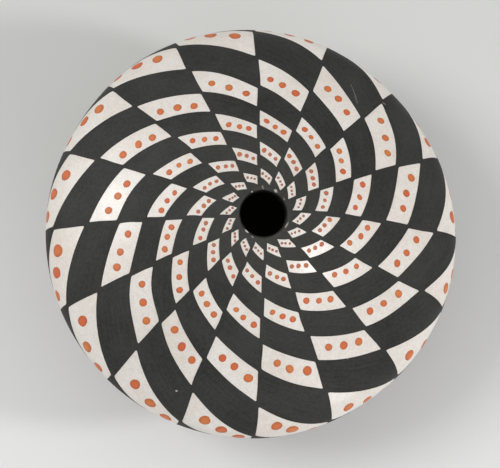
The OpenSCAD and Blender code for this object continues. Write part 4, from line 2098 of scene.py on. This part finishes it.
@dataclass
class Studio:
    """Floor, lamps, sky and camera.

    The sky's tilt is what it gains to the right and to the back. The view's turns are in degrees.
    """

    shape: PotShape
    floor_size: float = 6.0
    floor_sides: int = 96
    floor_lap: float = 0.4 * MM
    floor_drop: float = 0.05 * MM
    sky: float = 0.53
    sky_tilt: tuple[float, float] = (-0.086, 0.17)
    lamps: tuple[Lamp, ...] = (
        Lamp("left_lamp", 168.0, 46.0, 0.39, LampUse.SHADE, width=0.9),
        Lamp("right_lamp", -10.0, 28.0, 0.36, LampUse.SHADE),
        Lamp("left_gleam", 162.0, 30.0, 0.20, LampUse.GLEAM),
        Lamp("left_glow", 160.0, 38.0, 0.70, LampUse.GLEAM, width=2.2),
        Lamp("right_gleam", -22.0, 61.5, 0.41, LampUse.GLEAM),
        Lamp("front_fill", -62.0, 8.0, 0.26, width=0.9),
    )
    view_side: float = -6.093
    view_back: float = -9.249
    view_roll: float = -1.21
    view_distance: float = 700 * MM
    aim_right: float = -4.06 * MM
    aim_up: float = -6.20 * MM
    lens: float = 166.87
    sensor: float = 36.0
    clip: tuple[float, float] = (0.01, 50.0)

    def build(self) -> None:
        """Sets up everything round the pot."""
        self._floor()
        self._sky()
        for lamp in self.lamps:
            lamp.hang(Vector((0.0, 0.0, self.shape.belly_h)))
        self._camera()
        bpy.context.scene.view_settings.view_transform = "Standard"

    def _floor(self) -> None:
        """Lays the pale floor just under the foot, open where the foot hides it."""
        turn = np.linspace(0.0, 2 * math.pi, self.floor_sides, endpoint=False)
        ring = np.stack([np.cos(turn), np.sin(turn), np.zeros_like(turn)], axis=1)
        under = np.array([0.0, 0.0, -self.floor_drop])
        inner, outer = self.shape.foot_d / 2 - self.floor_lap, self.floor_size / 2
        points = np.concatenate([ring * inner + under, ring * outer + under])
        here = np.arange(self.floor_sides)
        after = np.roll(here, -1)
        faces = np.stack([here, here + self.floor_sides, after + self.floor_sides, after], axis=1)
        mesh = bpy.data.meshes.new("studio_floor")
        mesh.from_pydata(points.tolist(), [], faces.tolist())
        mesh.materials.append(FloorFinish().material())
        new_piece("studio_floor", mesh)

    def _sky(self) -> None:
        """Gives a pale light from all sides, a little stronger from behind the pot and from the left."""
        world = bpy.data.worlds.new("studio_sky")
        world.use_nodes = True
        sheet = NodeSheet(world.node_tree)
        ground = next(n for n in world.node_tree.nodes if n.type == "BACKGROUND")
        ground.inputs["Color"].default_value = (1.0, 1.0, 1.0, 1.0)
        right, behind, _ = sheet.split(sheet.add("ShaderNodeTexCoord").outputs["Generated"])
        tilt = sheet.weighed((right, self.sky_tilt[0]), (behind, self.sky_tilt[1]))
        sheet.feed(ground.inputs["Strength"], sheet.math("ADD", tilt, self.sky))
        bpy.context.scene.world = world

    def _camera(self) -> None:
        """Stands the camera high over the mouth, a little to the front left."""
        side, back = math.sin(math.radians(self.view_side)), math.sin(math.radians(self.view_back))
        way = Vector((side, back, math.sqrt(1 - side**2 - back**2)))
        roll = math.radians(self.view_roll)
        right = Vector((math.cos(roll), math.sin(roll), 0.0))
        right = (right - way * right.dot(way)).normalized()
        up = way.cross(right)
        top = Vector((0.0, 0.0, self.shape.height))
        spot = top + way * self.view_distance
        behind = (spot - (top + right * self.aim_right + up * self.aim_up)).normalized()
        right = (right - behind * right.dot(behind)).normalized()
        up = behind.cross(right)
        data = bpy.data.cameras.new("camera")
        data.sensor_width = self.sensor
        data.lens = self.lens
        data.clip_start, data.clip_end = self.clip
        camera = bpy.data.objects.new("camera", data)
        camera.matrix_world = Matrix.Translation(spot) @ Matrix((right, up, behind)).transposed().to_4x4()
        bpy.context.scene.collection.objects.link(camera)
        bpy.context.scene.camera = camera


def main() -> None:
    """Builds the pot's coats in order, dresses the clay and sets up the studio."""
    logging.basicConfig(level=logging.INFO, format="%(name)s: %(message)s")
    shape = PotShape()
    lattice = PaintLattice(shape)
    Studio(shape).build()
    ClayBody(shape).build()
    WhiteSlip(shape).build()
    PaintedNet(shape, lattice).build()
    OrangeDots(shape, lattice).build()


if __name__ == "__main__":
    main()
